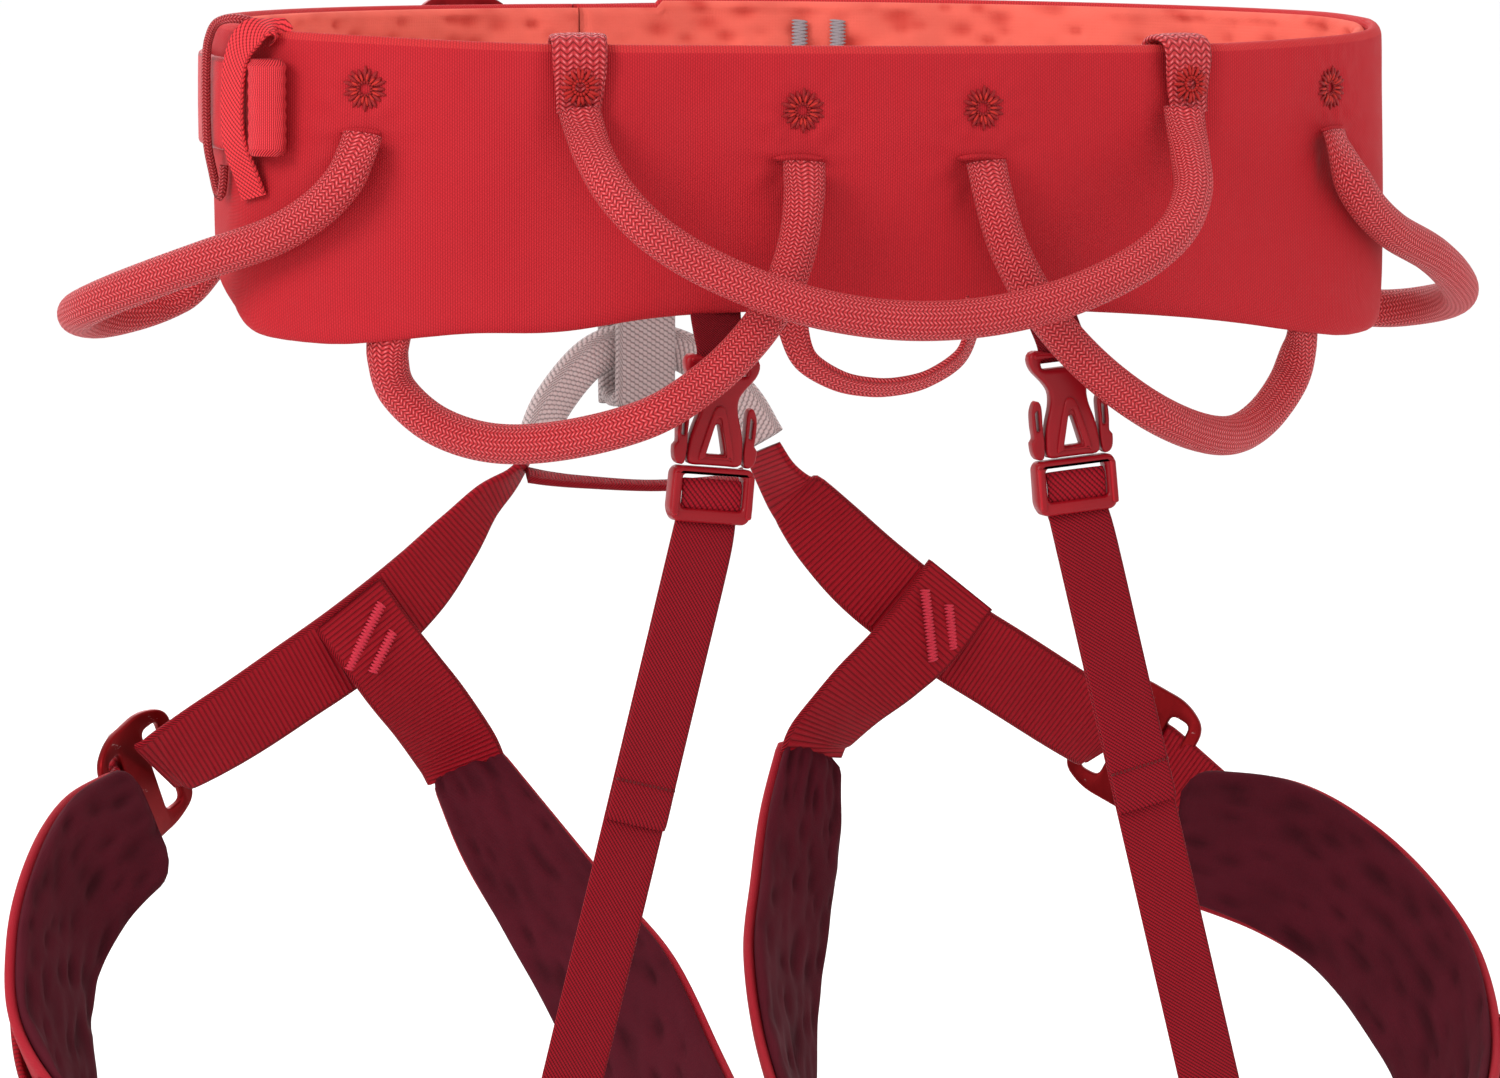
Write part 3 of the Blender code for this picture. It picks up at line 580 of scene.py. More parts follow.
MAT = {
    "belt": knit_material("belt_knit_fabric", BELT_RED),
    # painted highlight: a lighter copy of the belt fabric for the rounded top edge, where light falls on the
    # rim
    "rim": knit_material("belt_rim_painted_highlight_fabric", (0.54, 0.026, 0.030), 0.8, 0.8),
    # the third colour is painted shade for the lining dimples
    "lining": plush_material("belt_lining_fabric", LINING_CORAL, (0.50, 0.048, 0.036), sheen=0.1),
    "braid": braid_material("loop_braid", LOOP_RED),
    "tab_braid": braid_material("tab_braid", shade(LOOP_RED, 0.92), 1.75, 1.45),
    # a lighter copy of the loop braid: painted light to lift the shade that falls under the belt
    "haul": braid_material("haul_loop_braid", shade(LOOP_RED, 1.1), 1.35, 1.1),
    "web": webbing_material("leg_webbing", WEB_RED, 25.0),
    "elastic": twill_material("riser_elastic_twill", ELASTIC_RED),
    "elastic_back": twill_material("riser_top_twill", shade(ELASTIC_RED, 0.75), 0.9),
    "pad": knit_material("leg_pad_fabric", PAD_RED, 0.55, 0.8),
    # the third colour is painted shade for the pad lining dimples
    "pad_lining": plush_material("leg_pad_lining_fabric", MAROON, (0.034, 0.0025, 0.006), sheen=0.08),
    "sling": sling_material("tie_in_webbing", GREY_WEB),
    "sleeve": sling_material("tie_in_sleeve", shade(GREY_WEB, 1.45)),
    "plastic": plastic_material("buckle_plastic", PLASTIC_RED),
    # lit 2.4 paints a strong satin highlight on the rib tops
    "satin": webbing_material("waist_satin_webbing", (0.56, 0.026, 0.034), 25.0, 0.6, 2.4, 0.9, 0.26),
    "web_light": webbing_material("waist_webbing", (0.48, 0.010, 0.024), 25.0),
    "keeper": twill_material("keeper_elastic", shade(LOOP_RED, 0.9), 1.5, 1.0, 1.3),
    "anodised": metal_material("anodised_aluminium", (0.20, 0.008, 0.010), 0.36),
    "polished": metal_material("polished_aluminium", (0.80, 0.74, 0.72), 0.16),
    "thread_dark": thread_material("star_thread", (0.27, 0.008, 0.010)),
    "thread_orange": thread_material("tab_star_thread", (0.40, 0.011, 0.009)),
    # lighter thread for the stars' inner stitches: painted glints over the dark star stitches
    "thread_glint": thread_material("star_painted_glint_thread", (0.50, 0.020, 0.014)),
    "thread_web": thread_material("bartack_thread", (0.60, 0.030, 0.060)),
    "thread_grey": thread_material("grey_thread", (0.30, 0.28, 0.30)),
    "panel": twill_material("buckle_panel_weave", shade(ELASTIC_RED, 1.25), 1.6, 1.0, 1.1),
    "web_small": webbing_material("bridge_webbing_weave", WEB_RED, 6.0, 1.0),
    "pad_band": twill_material("pad_keeper_elastic", shade(PAD_RED, 0.95), 1.3),
    "arch": sling_material("tie_in_sleeve_wrap", shade(GREY_WEB, 1.25)),
    "thread_fold": thread_material("fold_thread", (0.10, 0.003, 0.004)),
    "cord": braid_material("tool_cord_braid", shade(LOOP_RED, 0.8), 1.0, 0.9),
}


# ---------------------------------------------------------------- belt

def belt_depth(y):
    return np.where(np.asarray(y) < 0, REAR_DEPTH, FRONT_DEPTH)


def belt_plan(angle, offset=0.0):
    """Plan points and outward directions; angle 0 is the rear centre, +90 degrees the right side."""
    angle = np.atleast_1d(np.asarray(angle, float))
    x, y = np.sin(angle), -np.cos(angle)
    depth = belt_depth(y)
    out = unit(np.stack([x / HALF_WIDTH, y / depth, np.zeros_like(x)], axis=-1))
    base = np.stack([HALF_WIDTH * x, depth * y, np.zeros_like(x)], axis=-1)
    return base + out * np.asarray(offset)[..., None], out


ARC_ANGLES = np.linspace(-math.pi * 1.2, math.pi * 1.2, 6001)
ARC = lengths(belt_plan(ARC_ANGLES)[0])
ARC = ARC - np.interp(0.0, ARC_ANGLES, ARC)


def arc_of(angle):
    return np.interp(angle, ARC_ANGLES, ARC)


def angle_at(x):
    """Angle of the rear half at a given sideways position."""
    return math.asin(x / HALF_WIDTH)


def signed_degrees(angle):
    """Degrees from the rear centre, positive on the wearer's right."""
    return (np.degrees(angle) + 180) % 360 - 180


def belt_bottom(angle):
    signed = signed_degrees(angle)
    degrees = np.abs(signed)
    height = sum(np.interp(degrees + step, BOTTOM_ANGLES, BOTTOM_HEIGHTS) for step in (-8, -4, 0, 4, 8)) / 5
    return height - 0.6 - 2.4 * np.exp(-((degrees - 84) / 9) ** 2) - 2.5 * np.exp(-((signed + 33) / 8) ** 2)


def belt_top(angle):
    """The rim sags behind and rises towards the front, more so on the wearer's right."""
    signed = signed_degrees(angle)
    degrees = np.abs(signed)
    front = np.where(signed > 0, 4.4, 2.4)
    return BELT_TOP - 1.8 * (1 - smooth(degrees, 30, 66)) + front * smooth(degrees, 58, 104)


def rolled(points):
    points = np.array(points, float)
    points[..., 2] += BELT_ROLL * points[..., 0]
    return points


SLOTS = [(26, 3.5, 13.0), (-26, 3.5, 13.0), (140, 8.6, 10.5), (-140, 8.6, 10.5)]
STARS = [(27, 17.4), (-24.5, 16.8), (139.5, 21.5), (-139.0, 21.5)]
TABS = [(88.4, 23.6), (-85.0, 22.8)]
DENTS = [(-49, -13, 15, 13, 1.9), (69, -12, 17, 14, 1.7), (2, -24, 20, 10, 1.3), (-100, -20, 20, 14, 1.1),
         (110, -24, 20, 12, 1.1), (-52, 20, 13, 9, 0.8), (54, 16, 13, 9, 0.8), (0, 8, 13, 9, -0.7)]


def belt_relief(angle, z):
    """How far the cover stands out or is drawn in, in millimetres."""
    s = arc_of(angle)
    relief = 0.5 * np.sin(s / 31.0) * np.cos(z / 26.0 + 0.6) + 0.35 * np.sin(s / 17.0 + 1.3) * np.sin(z / 19.0)
    relief += 0.9 * np.cos(np.clip((z + 5) / 45.0, -1, 1) * math.pi / 2)
    for x, level, wide, tall, deep in DENTS:
        d = s - arc_of(angle_at(x))
        relief -= deep * np.exp(-(d / wide) ** 2 - ((z - level) / tall) ** 2)
    for x, level, width in SLOTS:
        d = s - arc_of(angle_at(x))
        inside = np.exp(-(d / (width * 0.55)) ** 4)
        below = smooth(level - z, -0.3, 1.1) * smooth(z, level - 22, level - 3)
        relief -= 1.7 * inside * below
        relief += 0.75 * np.exp(-(d / (width * 0.62)) ** 4) * np.exp(-((z - level - 2.0) / 2.2) ** 2)
        r = np.hypot(d, (z - level) * 1.2)
        turn = np.arctan2(z - level, d)
        relief += 0.28 * np.exp(-((r - 11) / 7.0) ** 2) * np.cos(9 * turn + x)
        relief -= 0.9 * np.exp(-(r / 20.0) ** 2)
    for x, level in STARS:
        d = s - arc_of(angle_at(x))
        r = np.hypot(d, z - level)
        turn = np.arctan2(z - level, d)
        relief -= 0.9 * np.exp(-(r / 5.5) ** 2)
        relief += 0.35 * np.exp(-((r - 7.6) / 2.2) ** 2)
        relief += 0.18 * np.exp(-((r - 9) / 4.5) ** 2) * np.cos(11 * turn)
    for x, level in TABS:
        d = s - arc_of(angle_at(x))
        relief -= 1.1 * np.exp(-(d / 10.5) ** 4) * smooth(z, 4, 16)
        relief += 0.35 * np.exp(-((np.abs(d) - 11.5) / 3.0) ** 2) * smooth(z, 0, 14)
    d = s - arc_of(math.radians(-159.5))
    relief -= 2.6 * np.exp(-(d / 17.0) ** 4)
    fold = s + 3.0 * np.sin(z / 11.0)
    relief += 0.30 * np.sin(fold / 5.3) * np.exp(-((z - 30) / 9.0) ** 2) * (0.4 + 0.6 * np.sin(s / 43.0) ** 2)
    return relief


def cover_angles(step=1.7):
    left_end = math.pi - math.asin(26.15 / HALF_WIDTH)
    right_end = math.pi + math.asin(25.85 / HALF_WIDTH)
    first, last = arc_of(right_end), arc_of(-left_end)
    wanted = np.linspace(first, last, int((first - last) / step))
    return np.interp(wanted, ARC, ARC_ANGLES)


def dimples(s, z, spacing, depth, size, seed, low, high):
    """Irregular soft dips over a lining: (relief in millimetres, share of depth)."""
    rng = np.random.default_rng(seed)
    total = np.zeros(np.broadcast(s, z).shape)
    for row, level in enumerate(np.arange(low, high, spacing * 0.87)):
        places = np.arange(s.min() - spacing, s.max() + spacing, spacing) + (row % 2) * spacing / 2
        for place in places:
            cs = place + rng.normal(0, spacing * 0.22)
            cz = level + rng.normal(0, spacing * 0.2)
            amount = rng.uniform(0.25, 1.0)
            wide = size * rng.uniform(0.7, 1.4)
            near = np.abs(s[:, 0] - cs) < 4 * wide if s.ndim == 2 else np.abs(s - cs) < 4 * wide
            if near.any():
                total[near] += amount * np.exp(-(((s[near] - cs) / (wide * 1.35)) ** 2
                                                 + ((z[near] - cz) / (wide * 0.8)) ** 2))
    share = np.clip(total, 0, 1.2)
    return -depth * share, share


def belt_section(angle, inner, outer, rows=50):
    """(offset, height, face share) around one closed section; share is 1 on the outer face."""
    top, bottom = float(belt_top(angle)), float(belt_bottom(angle))
    mid, half = (inner + outer) / 2, (outer - inner) / 2
    round_top, round_bottom = 3.2, 5.0
    points = []
    for t in np.linspace(0, 1, rows):
        z = bottom + round_bottom + (top - round_top - bottom - round_bottom) * t
        points.append((outer, z, 1.0))
    for a in np.linspace(0, 180, 10)[1:-1]:
        c, s = math.cos(math.radians(a)), math.sin(math.radians(a))
        points.append((mid + half * c, top - round_top + round_top * s, max(0.0, c)))
    for t in np.linspace(1, 0, 12):
        z = bottom + round_bottom + (top - round_top - bottom - round_bottom) * t
        points.append((inner, z, 0.0))
    for a in np.linspace(180, 360, 12)[1:-1]:
        c, s = math.cos(math.radians(a)), math.sin(math.radians(a))
        points.append((mid + half * c, bottom + round_bottom + round_bottom * s, max(0.0, c)))
    return np.array(points)


def build_belt_cover():
    angles = cover_angles()
    base, out = belt_plan(angles)
    arcs = arc_of(angles)
    sections = np.array([belt_section(a, -SHELL, 0.0) for a in angles])
    ends = np.minimum(np.abs(arcs - arcs[0]), np.abs(arcs - arcs[-1]))
    pinch = np.sqrt(np.clip(1 - (1 - np.clip(ends / 4.0, 0, 1)) ** 2, 0.03, 1))
    grid_angle = np.repeat(angles[:, None], sections.shape[1], axis=1)
    relief = belt_relief(grid_angle, sections[..., 1]) * sections[..., 2]
    fade = smooth(sections[..., 1], belt_bottom(grid_angle), belt_bottom(grid_angle) + 14)
    relief = relief * (0.25 + 0.75 * fade) * pinch[:, None]
    offset = -SHELL / 2 + (sections[..., 0] + SHELL / 2) * pinch[:, None] + relief
    points = base[:, None, :] + out[:, None, :] * offset[..., None]
    points[..., 2] = sections[..., 1]
    around = np.array([lengths(np.stack([s[:, 0], s[:, 1]], axis=1), True) for s in sections])
    uvs = np.stack([np.repeat(arcs[:, None], around.shape[1], axis=1), around], axis=-1)
    obj = grid_piece("belt_cover", rolled(points), uvs, MAT["belt"])
    # the top 2.2 mm of the cover take the lighter rim fabric, a painted highlight along the top edge
    obj.data.materials.append(MAT["rim"])
    high = sections[..., 1] - belt_top(grid_angle) > -2.2
    for face in obj.data.polygons:
        face.material_index = int(all(high.flat[v] for v in face.vertices) and len(face.vertices) == 4)
    return set_on(obj, "waist_belt", "belt_outer_shell", soft=0.7)


def lining_section(angle, rows=46):
    """(offset, height, face share) around the lining; share is 1 on the face towards the wearer."""
    top, bottom = float(belt_top(angle)) - 1.0, float(belt_bottom(angle)) + 1.3
    mid, half = -SHELL - 0.1 - LINING / 2, LINING / 2
    turns = np.radians(np.linspace(0, 180, 10)[1:-1])
    face = [(mid - half, z, 1.0) for z in np.linspace(top - 3.0, bottom + 4.0, rows)]
    low = [(mid - half * math.cos(t), bottom + 4.0 - 4.0 * math.sin(t), 0.3) for t in turns]
    back = [(mid + half, z, 0.0) for z in np.linspace(bottom + 4.0, top - 3.0, 8)]
    high = [(mid + half * math.cos(t), top - 3.0 + 3.0 * math.sin(t), 0.3) for t in turns]
    return face + low + back + high


def build_belt_lining():
    angles = cover_angles(1.9)
    base, out = belt_plan(angles)
    arcs = arc_of(angles)
    sections = np.array([lining_section(a) for a in angles])
    s = np.repeat(arcs[:, None], sections.shape[1], axis=1)
    dent, share = dimples(s, sections[..., 1], 8.5, 1.7, 2.5, 11, -44, 38)
    dent = dent * (sections[..., 2] > 0.9)
    # share becomes the dip attribute: painted shade in the dimples
    share = share * (sections[..., 2] > 0.2)
    swell = 0.5 * np.sin(s / 23.0) * np.sin(sections[..., 1] / 17.0) * (sections[..., 2] > 0.9)
    ends = np.minimum(np.abs(arcs - arcs[0]), np.abs(arcs - arcs[-1]))
    pinch = np.sqrt(np.clip(1 - (1 - np.clip(ends / 1.5, 0, 1)) ** 2, 0.05, 1))[:, None]
    mid = -SHELL - 0.1 - LINING / 2
    offset = mid + (sections[..., 0] - mid) * pinch - (dent + swell) * pinch
    points = base[:, None, :] + out[:, None, :] * offset[..., None]
    points[..., 2] = sections[..., 1]
    around = np.array([lengths(np.stack([q[:, 0], q[:, 1]], axis=1), True) for q in sections])
    uvs = np.stack([np.repeat(arcs[:, None], around.shape[1], axis=1), around], axis=-1)
    obj = grid_piece("belt_lining", rolled(points), uvs, MAT["lining"], dip=share)
    set_on(obj, "waist_belt", "belt_inner_lining", soft=0.5)
    segments = []
    for angle in np.radians((161.5, 165.5)):
        (place,), (out,) = belt_plan(angle, np.array([-SHELL - LINING - 0.6]))
        place[2] = 29.0
        segments += zigzag(place, (0, 0, 1), np.cross([0, 0, 1], out), -out, 9.0, 4.6, 1.0)
    set_on(stitch_row("belt_lining_bartacks", segments, MAT["thread_grey"], 0.42, 0.4), "waist_belt")


def on_cover(angle, z, lift=0.0):
    """A point standing `lift` off the belt cover, and the outward direction there."""
    offset = float(belt_relief(np.array([angle]), np.array([float(z)]))[0]) + lift
    base, out = belt_plan(angle, np.array([offset]))
    point = base[0]
    point[2] = z
    return rolled(point), out[0]


def star(x, z, lift, petals=20, inner=2.0, outer=5.6, extra=0.0, ring=True):
    """A ring of radial embroidery stitches."""
    angle = angle_at(x)
    centre = arc_of(angle)
    result = []
    for k in range(petals):
        turn = 2 * math.pi * (k + 0.15 * math.sin(k * 2.1)) / petals
        reach = outer + (0.5 if k % 2 else 0.0) + extra * math.sin(k * 1.7)
        ends = []
        for r in (inner, reach):
            a = float(np.interp(centre + r * math.cos(turn), ARC, ARC_ANGLES))
            p, out = on_cover(a, z + r * math.sin(turn), lift)
            ends.append(p)
        result.append((ends[0], ends[1], out))
    for k in range(14 if ring else 0):
        turn0, turn1 = 2 * math.pi * k / 14, 2 * math.pi * (k + 1.15) / 14
        ends = []
        for turn in (turn0, turn1):
            a = float(np.interp(centre + (inner - 0.1) * math.cos(turn), ARC, ARC_ANGLES))
            p, out = on_cover(a, z + (inner - 0.1) * math.sin(turn), lift + 0.1)
            ends.append(p)
        result.append((ends[0], ends[1], out))
    return result


def build_stars():
    dark = []
    for x, z in STARS:
        dark += star(x, z, 0.12, extra=0.15)
    set_on(stitch_row("cover_star_stitches", dark, MAT["thread_dark"], 0.5, 0.45), "waist_belt")
    # a second, lighter set of stitches: painted glints on the stars
    inner = []
    for x, z in STARS:
        inner += star(x, z, 0.55, 14, 1.9, 4.2, 0.2, False)
    set_on(stitch_row("cover_star_glint_stitches", inner, MAT["thread_glint"], 0.36, 0.35), "waist_belt")
    orange = []
    for x, z in TABS:
        orange += star(x, z, 4.3, 18, 2.0, 5.0)
    set_on(stitch_row("tab_star_stitches", orange, MAT["thread_orange"], 0.5, 0.45), "waist_belt")


def build_slot_lips():
    """A folded edge of cover fabric over each gear loop's slot."""
    parts = []
    for x, level, width in SLOTS:
        centre = arc_of(angle_at(x))
        rows = []
        normals = []
        for t in np.linspace(-1, 1, 9):
            a = float(np.interp(centre + t * (width / 2 + 0.2), ARC, ARC_ANGLES))
            p, out = on_cover(a, level + 0.7 + 0.9 * (abs(x) > 100) - 0.4 * t * t, 0.1 + 0.45 * (1 - t * t))
            rows.append([*p, 1.9 - 1.0 * abs(t) ** 3])
            normals.append(out)
        parts.append(ribbon("lip", rows, np.array(normals), 2.4, 0.9, MAT["belt"], 0.9, lift=-0.3))
    set_on(join("slot_lips", parts), "waist_belt")


# ---------------------------------------------------------------- gear loops

CENTRE_LOOP = [(86.5, -57.6, 17), (86, -60.8, 12), (85, -66.5, 4.5), (82, -76, -5), (74, -84, -15),
               (60, -89, -24), (40, -91.5, -32), (20, -92.5, -36.5), (0, -92.5, -38)]
REAR_LOOP = [(26, -66.5, 3), (27, -69.5, -6), (30, -72.5, -19), (36, -75.5, -32), (45, -76.5, -44),
             (57, -76, -55), (72, -73, -64.5), (90, -60, -71), (106, -46, -73), (119, -35, -69),
             (128.5, -29.5, -60), (131.5, -30, -51), (131.8, -32, -45), (131.2, -33.5, -41)]
SIDE_LOOP = [(140.5, -37, 9.3), (143, -38.5, 4), (146.5, -38.5, -3), (153, -34, -11), (163, -26, -18.5),
             (178, -12.5, -25.5), (192, 4, -33), (200, 20, -39), (199, 38, -43), (188, 52, -45), (172, 58, -42),
             (160, 56, -36), (151, 54, -29)]
# The right loop leaves its slot nearer the back
SIDE_DRIFT = [(-2, -0.6, 0.5), (-3, -0.4, 0.5), (-3, 0.2, 0), (-3, -0.6, 0), (-2, -0.6, 0)]
TUBE_RADIUS = 5.4


def sheath(name, rows, outward_start, outward_end, start_flat=(5.8, 1.9), end_flat=(6.0, 2.2)):
    """A braided sheath over a tube, pressed flat at both sewn ends."""
    rows = np.asarray(rows, float)
    count = int(lengths(spline(rows, 60))[-1] / 1.5)
    path = spline(rows, count)
    blend = np.linspace(0, 1, count)[:, None]
    rough = unit(np.array(outward_start) * (1 - blend) + np.array(outward_end) * blend)
    across, out = frames(path, rough)
    along = lengths(path)
    sides = 32
    points, uvs = [], []
    for i in range(count):
        a, b = along[i], along[-1] - along[i]
        near, flat = (a, start_flat) if a < b else (b, end_flat)
        share = 1 - smooth(near, 1.5, 17.0)
        half_w = TUBE_RADIUS + (flat[0] - TUBE_RADIUS) * share
        half_t = TUBE_RADIUS + (flat[1] - TUBE_RADIUS) * share
        turn = 2 * math.pi * np.arange(sides) / sides
        c, s = np.cos(turn), np.sin(turn)
        power = 1.0 - 0.25 * share
        ring = (path[i] + across[i] * (half_w * np.sign(c) * np.abs(c) ** power)[:, None]
                + out[i] * (half_t * np.sign(s) * np.abs(s) ** power)[:, None])
        points.append(ring)
        uvs.append(np.stack([np.full(sides + 1, along[i]), np.arange(sides + 1) / sides * 40.0], axis=1))
    return grid_piece(name, points, np.array(uvs), MAT["braid"])


def mirrored(rows, side):
    rows = np.array(rows, float)
    rows[:, 0] *= side
    return rows


def side_name(side):
    return "right" if side > 0 else "left"


def build_gear_loops():
    centre = [(-x, y, z) for x, y, z in CENTRE_LOOP[:-1]] + CENTRE_LOOP[::-1]
    rows = rolled(centre)
    obj = sheath("gear_loop_centre_sheath", rows, (0.0, -1, 0.0), (0.0, -1, 0.0), (5.9, 1.2), (5.9, 1.2))
    set_on(obj, "gear_loop_centre", "gear_loop_centre")
    for side in (-1, 1):
        label = side_name(side)
        obj = sheath(f"gear_loop_rear_{label}_sheath", rolled(mirrored(REAR_LOOP, side)),
                     (0.1 * side, -1, 0), (0.5 * side, -0.8, 0))
        set_on(obj, f"gear_loop_rear_{label}", f"gear_loop_rear_{label}")
        rows = mirrored(SIDE_LOOP, side)
        if side > 0:
            rows[:5] += SIDE_DRIFT
        obj = sheath(f"gear_loop_side_{label}_sheath", rolled(rows),
                     (0.7 * side, -0.7, 0), (0.9 * side, 0.3, 0.2))
        set_on(obj, f"gear_loop_side_{label}", f"gear_loop_side_{label}")


def build_tabs():
    """The flat sheath that wraps over the belt's rim above each end of the centre loop."""
    profile = [(-9.4, 19, 14.8), (-9.6, 26, 15), (-9.5, 30.5, 15.2), (-8.2, 33.8, 15.2), (-5.2, 35.2, 15.2),
               (-2.0, 35.2, 15.2), (0.8, 33.9, 15), (1.7, 31.0, 14.8), (1.5, 27.5, 14.4), (1.3, 24, 13.6),
               (1.2, 20.5, 12.8), (1.3, 17.5, 12.2), (1.6, 15.2, 11.8)]
    for side, (x, _) in ((1, TABS[0]), (-1, TABS[1])):
        label = side_name(side)
        base, out = belt_plan(angle_at(x))
        along = unit(np.cross([0, 0, 1], out[0]))
        rows, normals = [], []
        for k, (o, z, w) in enumerate(profile):
            p = base[0] + out[0] * o - along * (0.25 * max(0, k - 9) ** 1.5) * side * -0.4
            rows.append([p[0], p[1], z, w])
            q0 = np.array(profile[max(0, k - 1)][:2])
            q1 = np.array(profile[min(len(profile) - 1, k + 1)][:2])
            d = (q1 - q0) / np.linalg.norm(q1 - q0)
            normals.append(out[0] * -d[1] + np.array([0, 0, d[0]]))
        obj = ribbon(f"centre_loop_tab_{label}_sheath", rolled(rows), np.array(normals), 14.4, 1.6,
                     MAT["tab_braid"], 1.0, crown=0.3)
        set_on(obj, "waist_belt", f"centre_loop_tab_{label}")


def build_haul_loop():
    half = [(25.2, -57, -33, 11), (25.6, -57, -38, 10.5), (25.4, -57, -43, 9.5), (22, -57, -50.5, 8.5),
            (13, -57, -56, 8), (4, -57, -58, 8)]
    rows = [(-x, y, z, w) for x, y, z, w in half] + half[::-1]
    normals = []
    for x, y, z, _ in rows:
        radial = unit(np.array([x, 0.0, (z + 42) * 1.2]))
        normals.append(unit(radial + np.array([0, -0.75, 0])))
    obj = ribbon("haul_loop_webbing", rows, np.array(normals), 8.0, 1.9, MAT["haul"], 1.2, lift=-0.9)
    set_on(obj, "haul_loop", "haul_loop")


# ---------------------------------------------------------------- plates and buckles

def rounded(points, radius, steps=4):
    points = [np.asarray(p, float) for p in points]
    result = []
    for i, corner in enumerate(points):
        before, after = points[i - 1] - corner, points[(i + 1) % len(points)] - corner
        reach = min(radius, np.linalg.norm(before) * 0.45, np.linalg.norm(after) * 0.45)
        a, b = corner + unit(before) * reach, corner + unit(after) * reach
        for t in np.linspace(0, 1, steps):
            result.append(tuple((1 - t) ** 2 * a + 2 * t * (1 - t) * corner + t * t * b))
    return result


def both_sides(half):
    return list(half) + [(-x, y) for x, y in reversed(half)]


def bevel_plate(name, outline, holes, thick, bevel, place, material, rim=None, bend=None, level=0.0):
    """Moulded or stamped plate with rounded edges; `place` maps (across, along, out) to the harness."""
    curve = bpy.data.curves.new(name, "CURVE")
    curve.dimensions = "2D"
    curve.fill_mode = "BOTH"
    curve.extrude = (thick / 2 - bevel) * MM
    curve.bevel_depth = bevel * MM
    curve.bevel_resolution = 2
    curve.offset = -bevel * MM
    for loop in [outline, *holes]:
        line = curve.splines.new("POLY")
        line.points.add(len(loop) - 1)
        for point, (x, y) in zip(line.points, loop):
            point.co = (x * MM, y * MM, 0, 1)
        line.use_cyclic_u = True
    carrier = bpy.data.objects.new(name + "_curve", curve)
    bpy.context.scene.collection.objects.link(carrier)
    bpy.context.view_layer.update()
    mesh = bpy.data.meshes.new_from_object(carrier.evaluated_get(bpy.context.evaluated_depsgraph_get()))
    bpy.data.objects.remove(carrier, do_unlink=True)
    mesh.name = name
    work = bmesh.new()
    work.from_mesh(mesh)
    bmesh.ops.remove_doubles(work, verts=work.verts, dist=2e-5)
    bmesh.ops.recalc_face_normals(work, faces=work.faces)
    layer = work.loops.layers.uv.new("UVMap") if not work.loops.layers.uv else work.loops.layers.uv[0]
    for face in work.faces:
        face.material_index = 1 if rim and abs(face.normal.z) < 0.93 else 0
        face.smooth = True
        for loop in face.loops:
            loop[layer].uv = (loop.vert.co.x / MM, loop.vert.co.y / MM)
    for vert in work.verts:
        x, y, z = (c / MM for c in vert.co)
        extra = bend(x, y) if bend else 0.0
        vert.co = Vector(place(x, y, z + level + extra)) * MM
    if work.calc_volume(signed=True) < 0:
        bmesh.ops.reverse_faces(work, faces=work.faces)
    work.to_mesh(mesh)
    work.free()
    mesh.materials.clear()
    mesh.materials.append(material)
    if rim:
        mesh.materials.append(rim)
    mesh.set_sharp_from_angle(angle=math.radians(50))
    mesh.uv_layers[0].name = "UVMap"
    obj = bpy.data.objects.new(name, mesh)
    bpy.context.scene.collection.objects.link(obj)
    return obj


RISER_TOP = (48.8, -65.0, -49.2)
RISER_LEAN = math.radians(5.4)
RISER_FOOT = (105.0, -63.0, -299.0)
RISER_WIDTH = 17.2


def buckle_place(side):
    lean = RISER_LEAN * side
    across = np.array([math.cos(lean), 0.0, math.sin(lean)])
    up = np.array([-math.sin(lean), 0.0, math.cos(lean)])
    top = np.array(RISER_TOP) * [side, 1, 1]
    return lambda x, y, z: top + across * x + up * y + np.array([0, -z, 0])


def round_outline(half, count=64):
    """A smooth closed outline through a mirrored half outline."""
    rows = [(x, y, 0.0) for x, y in both_sides(half)]
    return [(x, y) for x, y, _ in spline(rows, count, closed=True)]


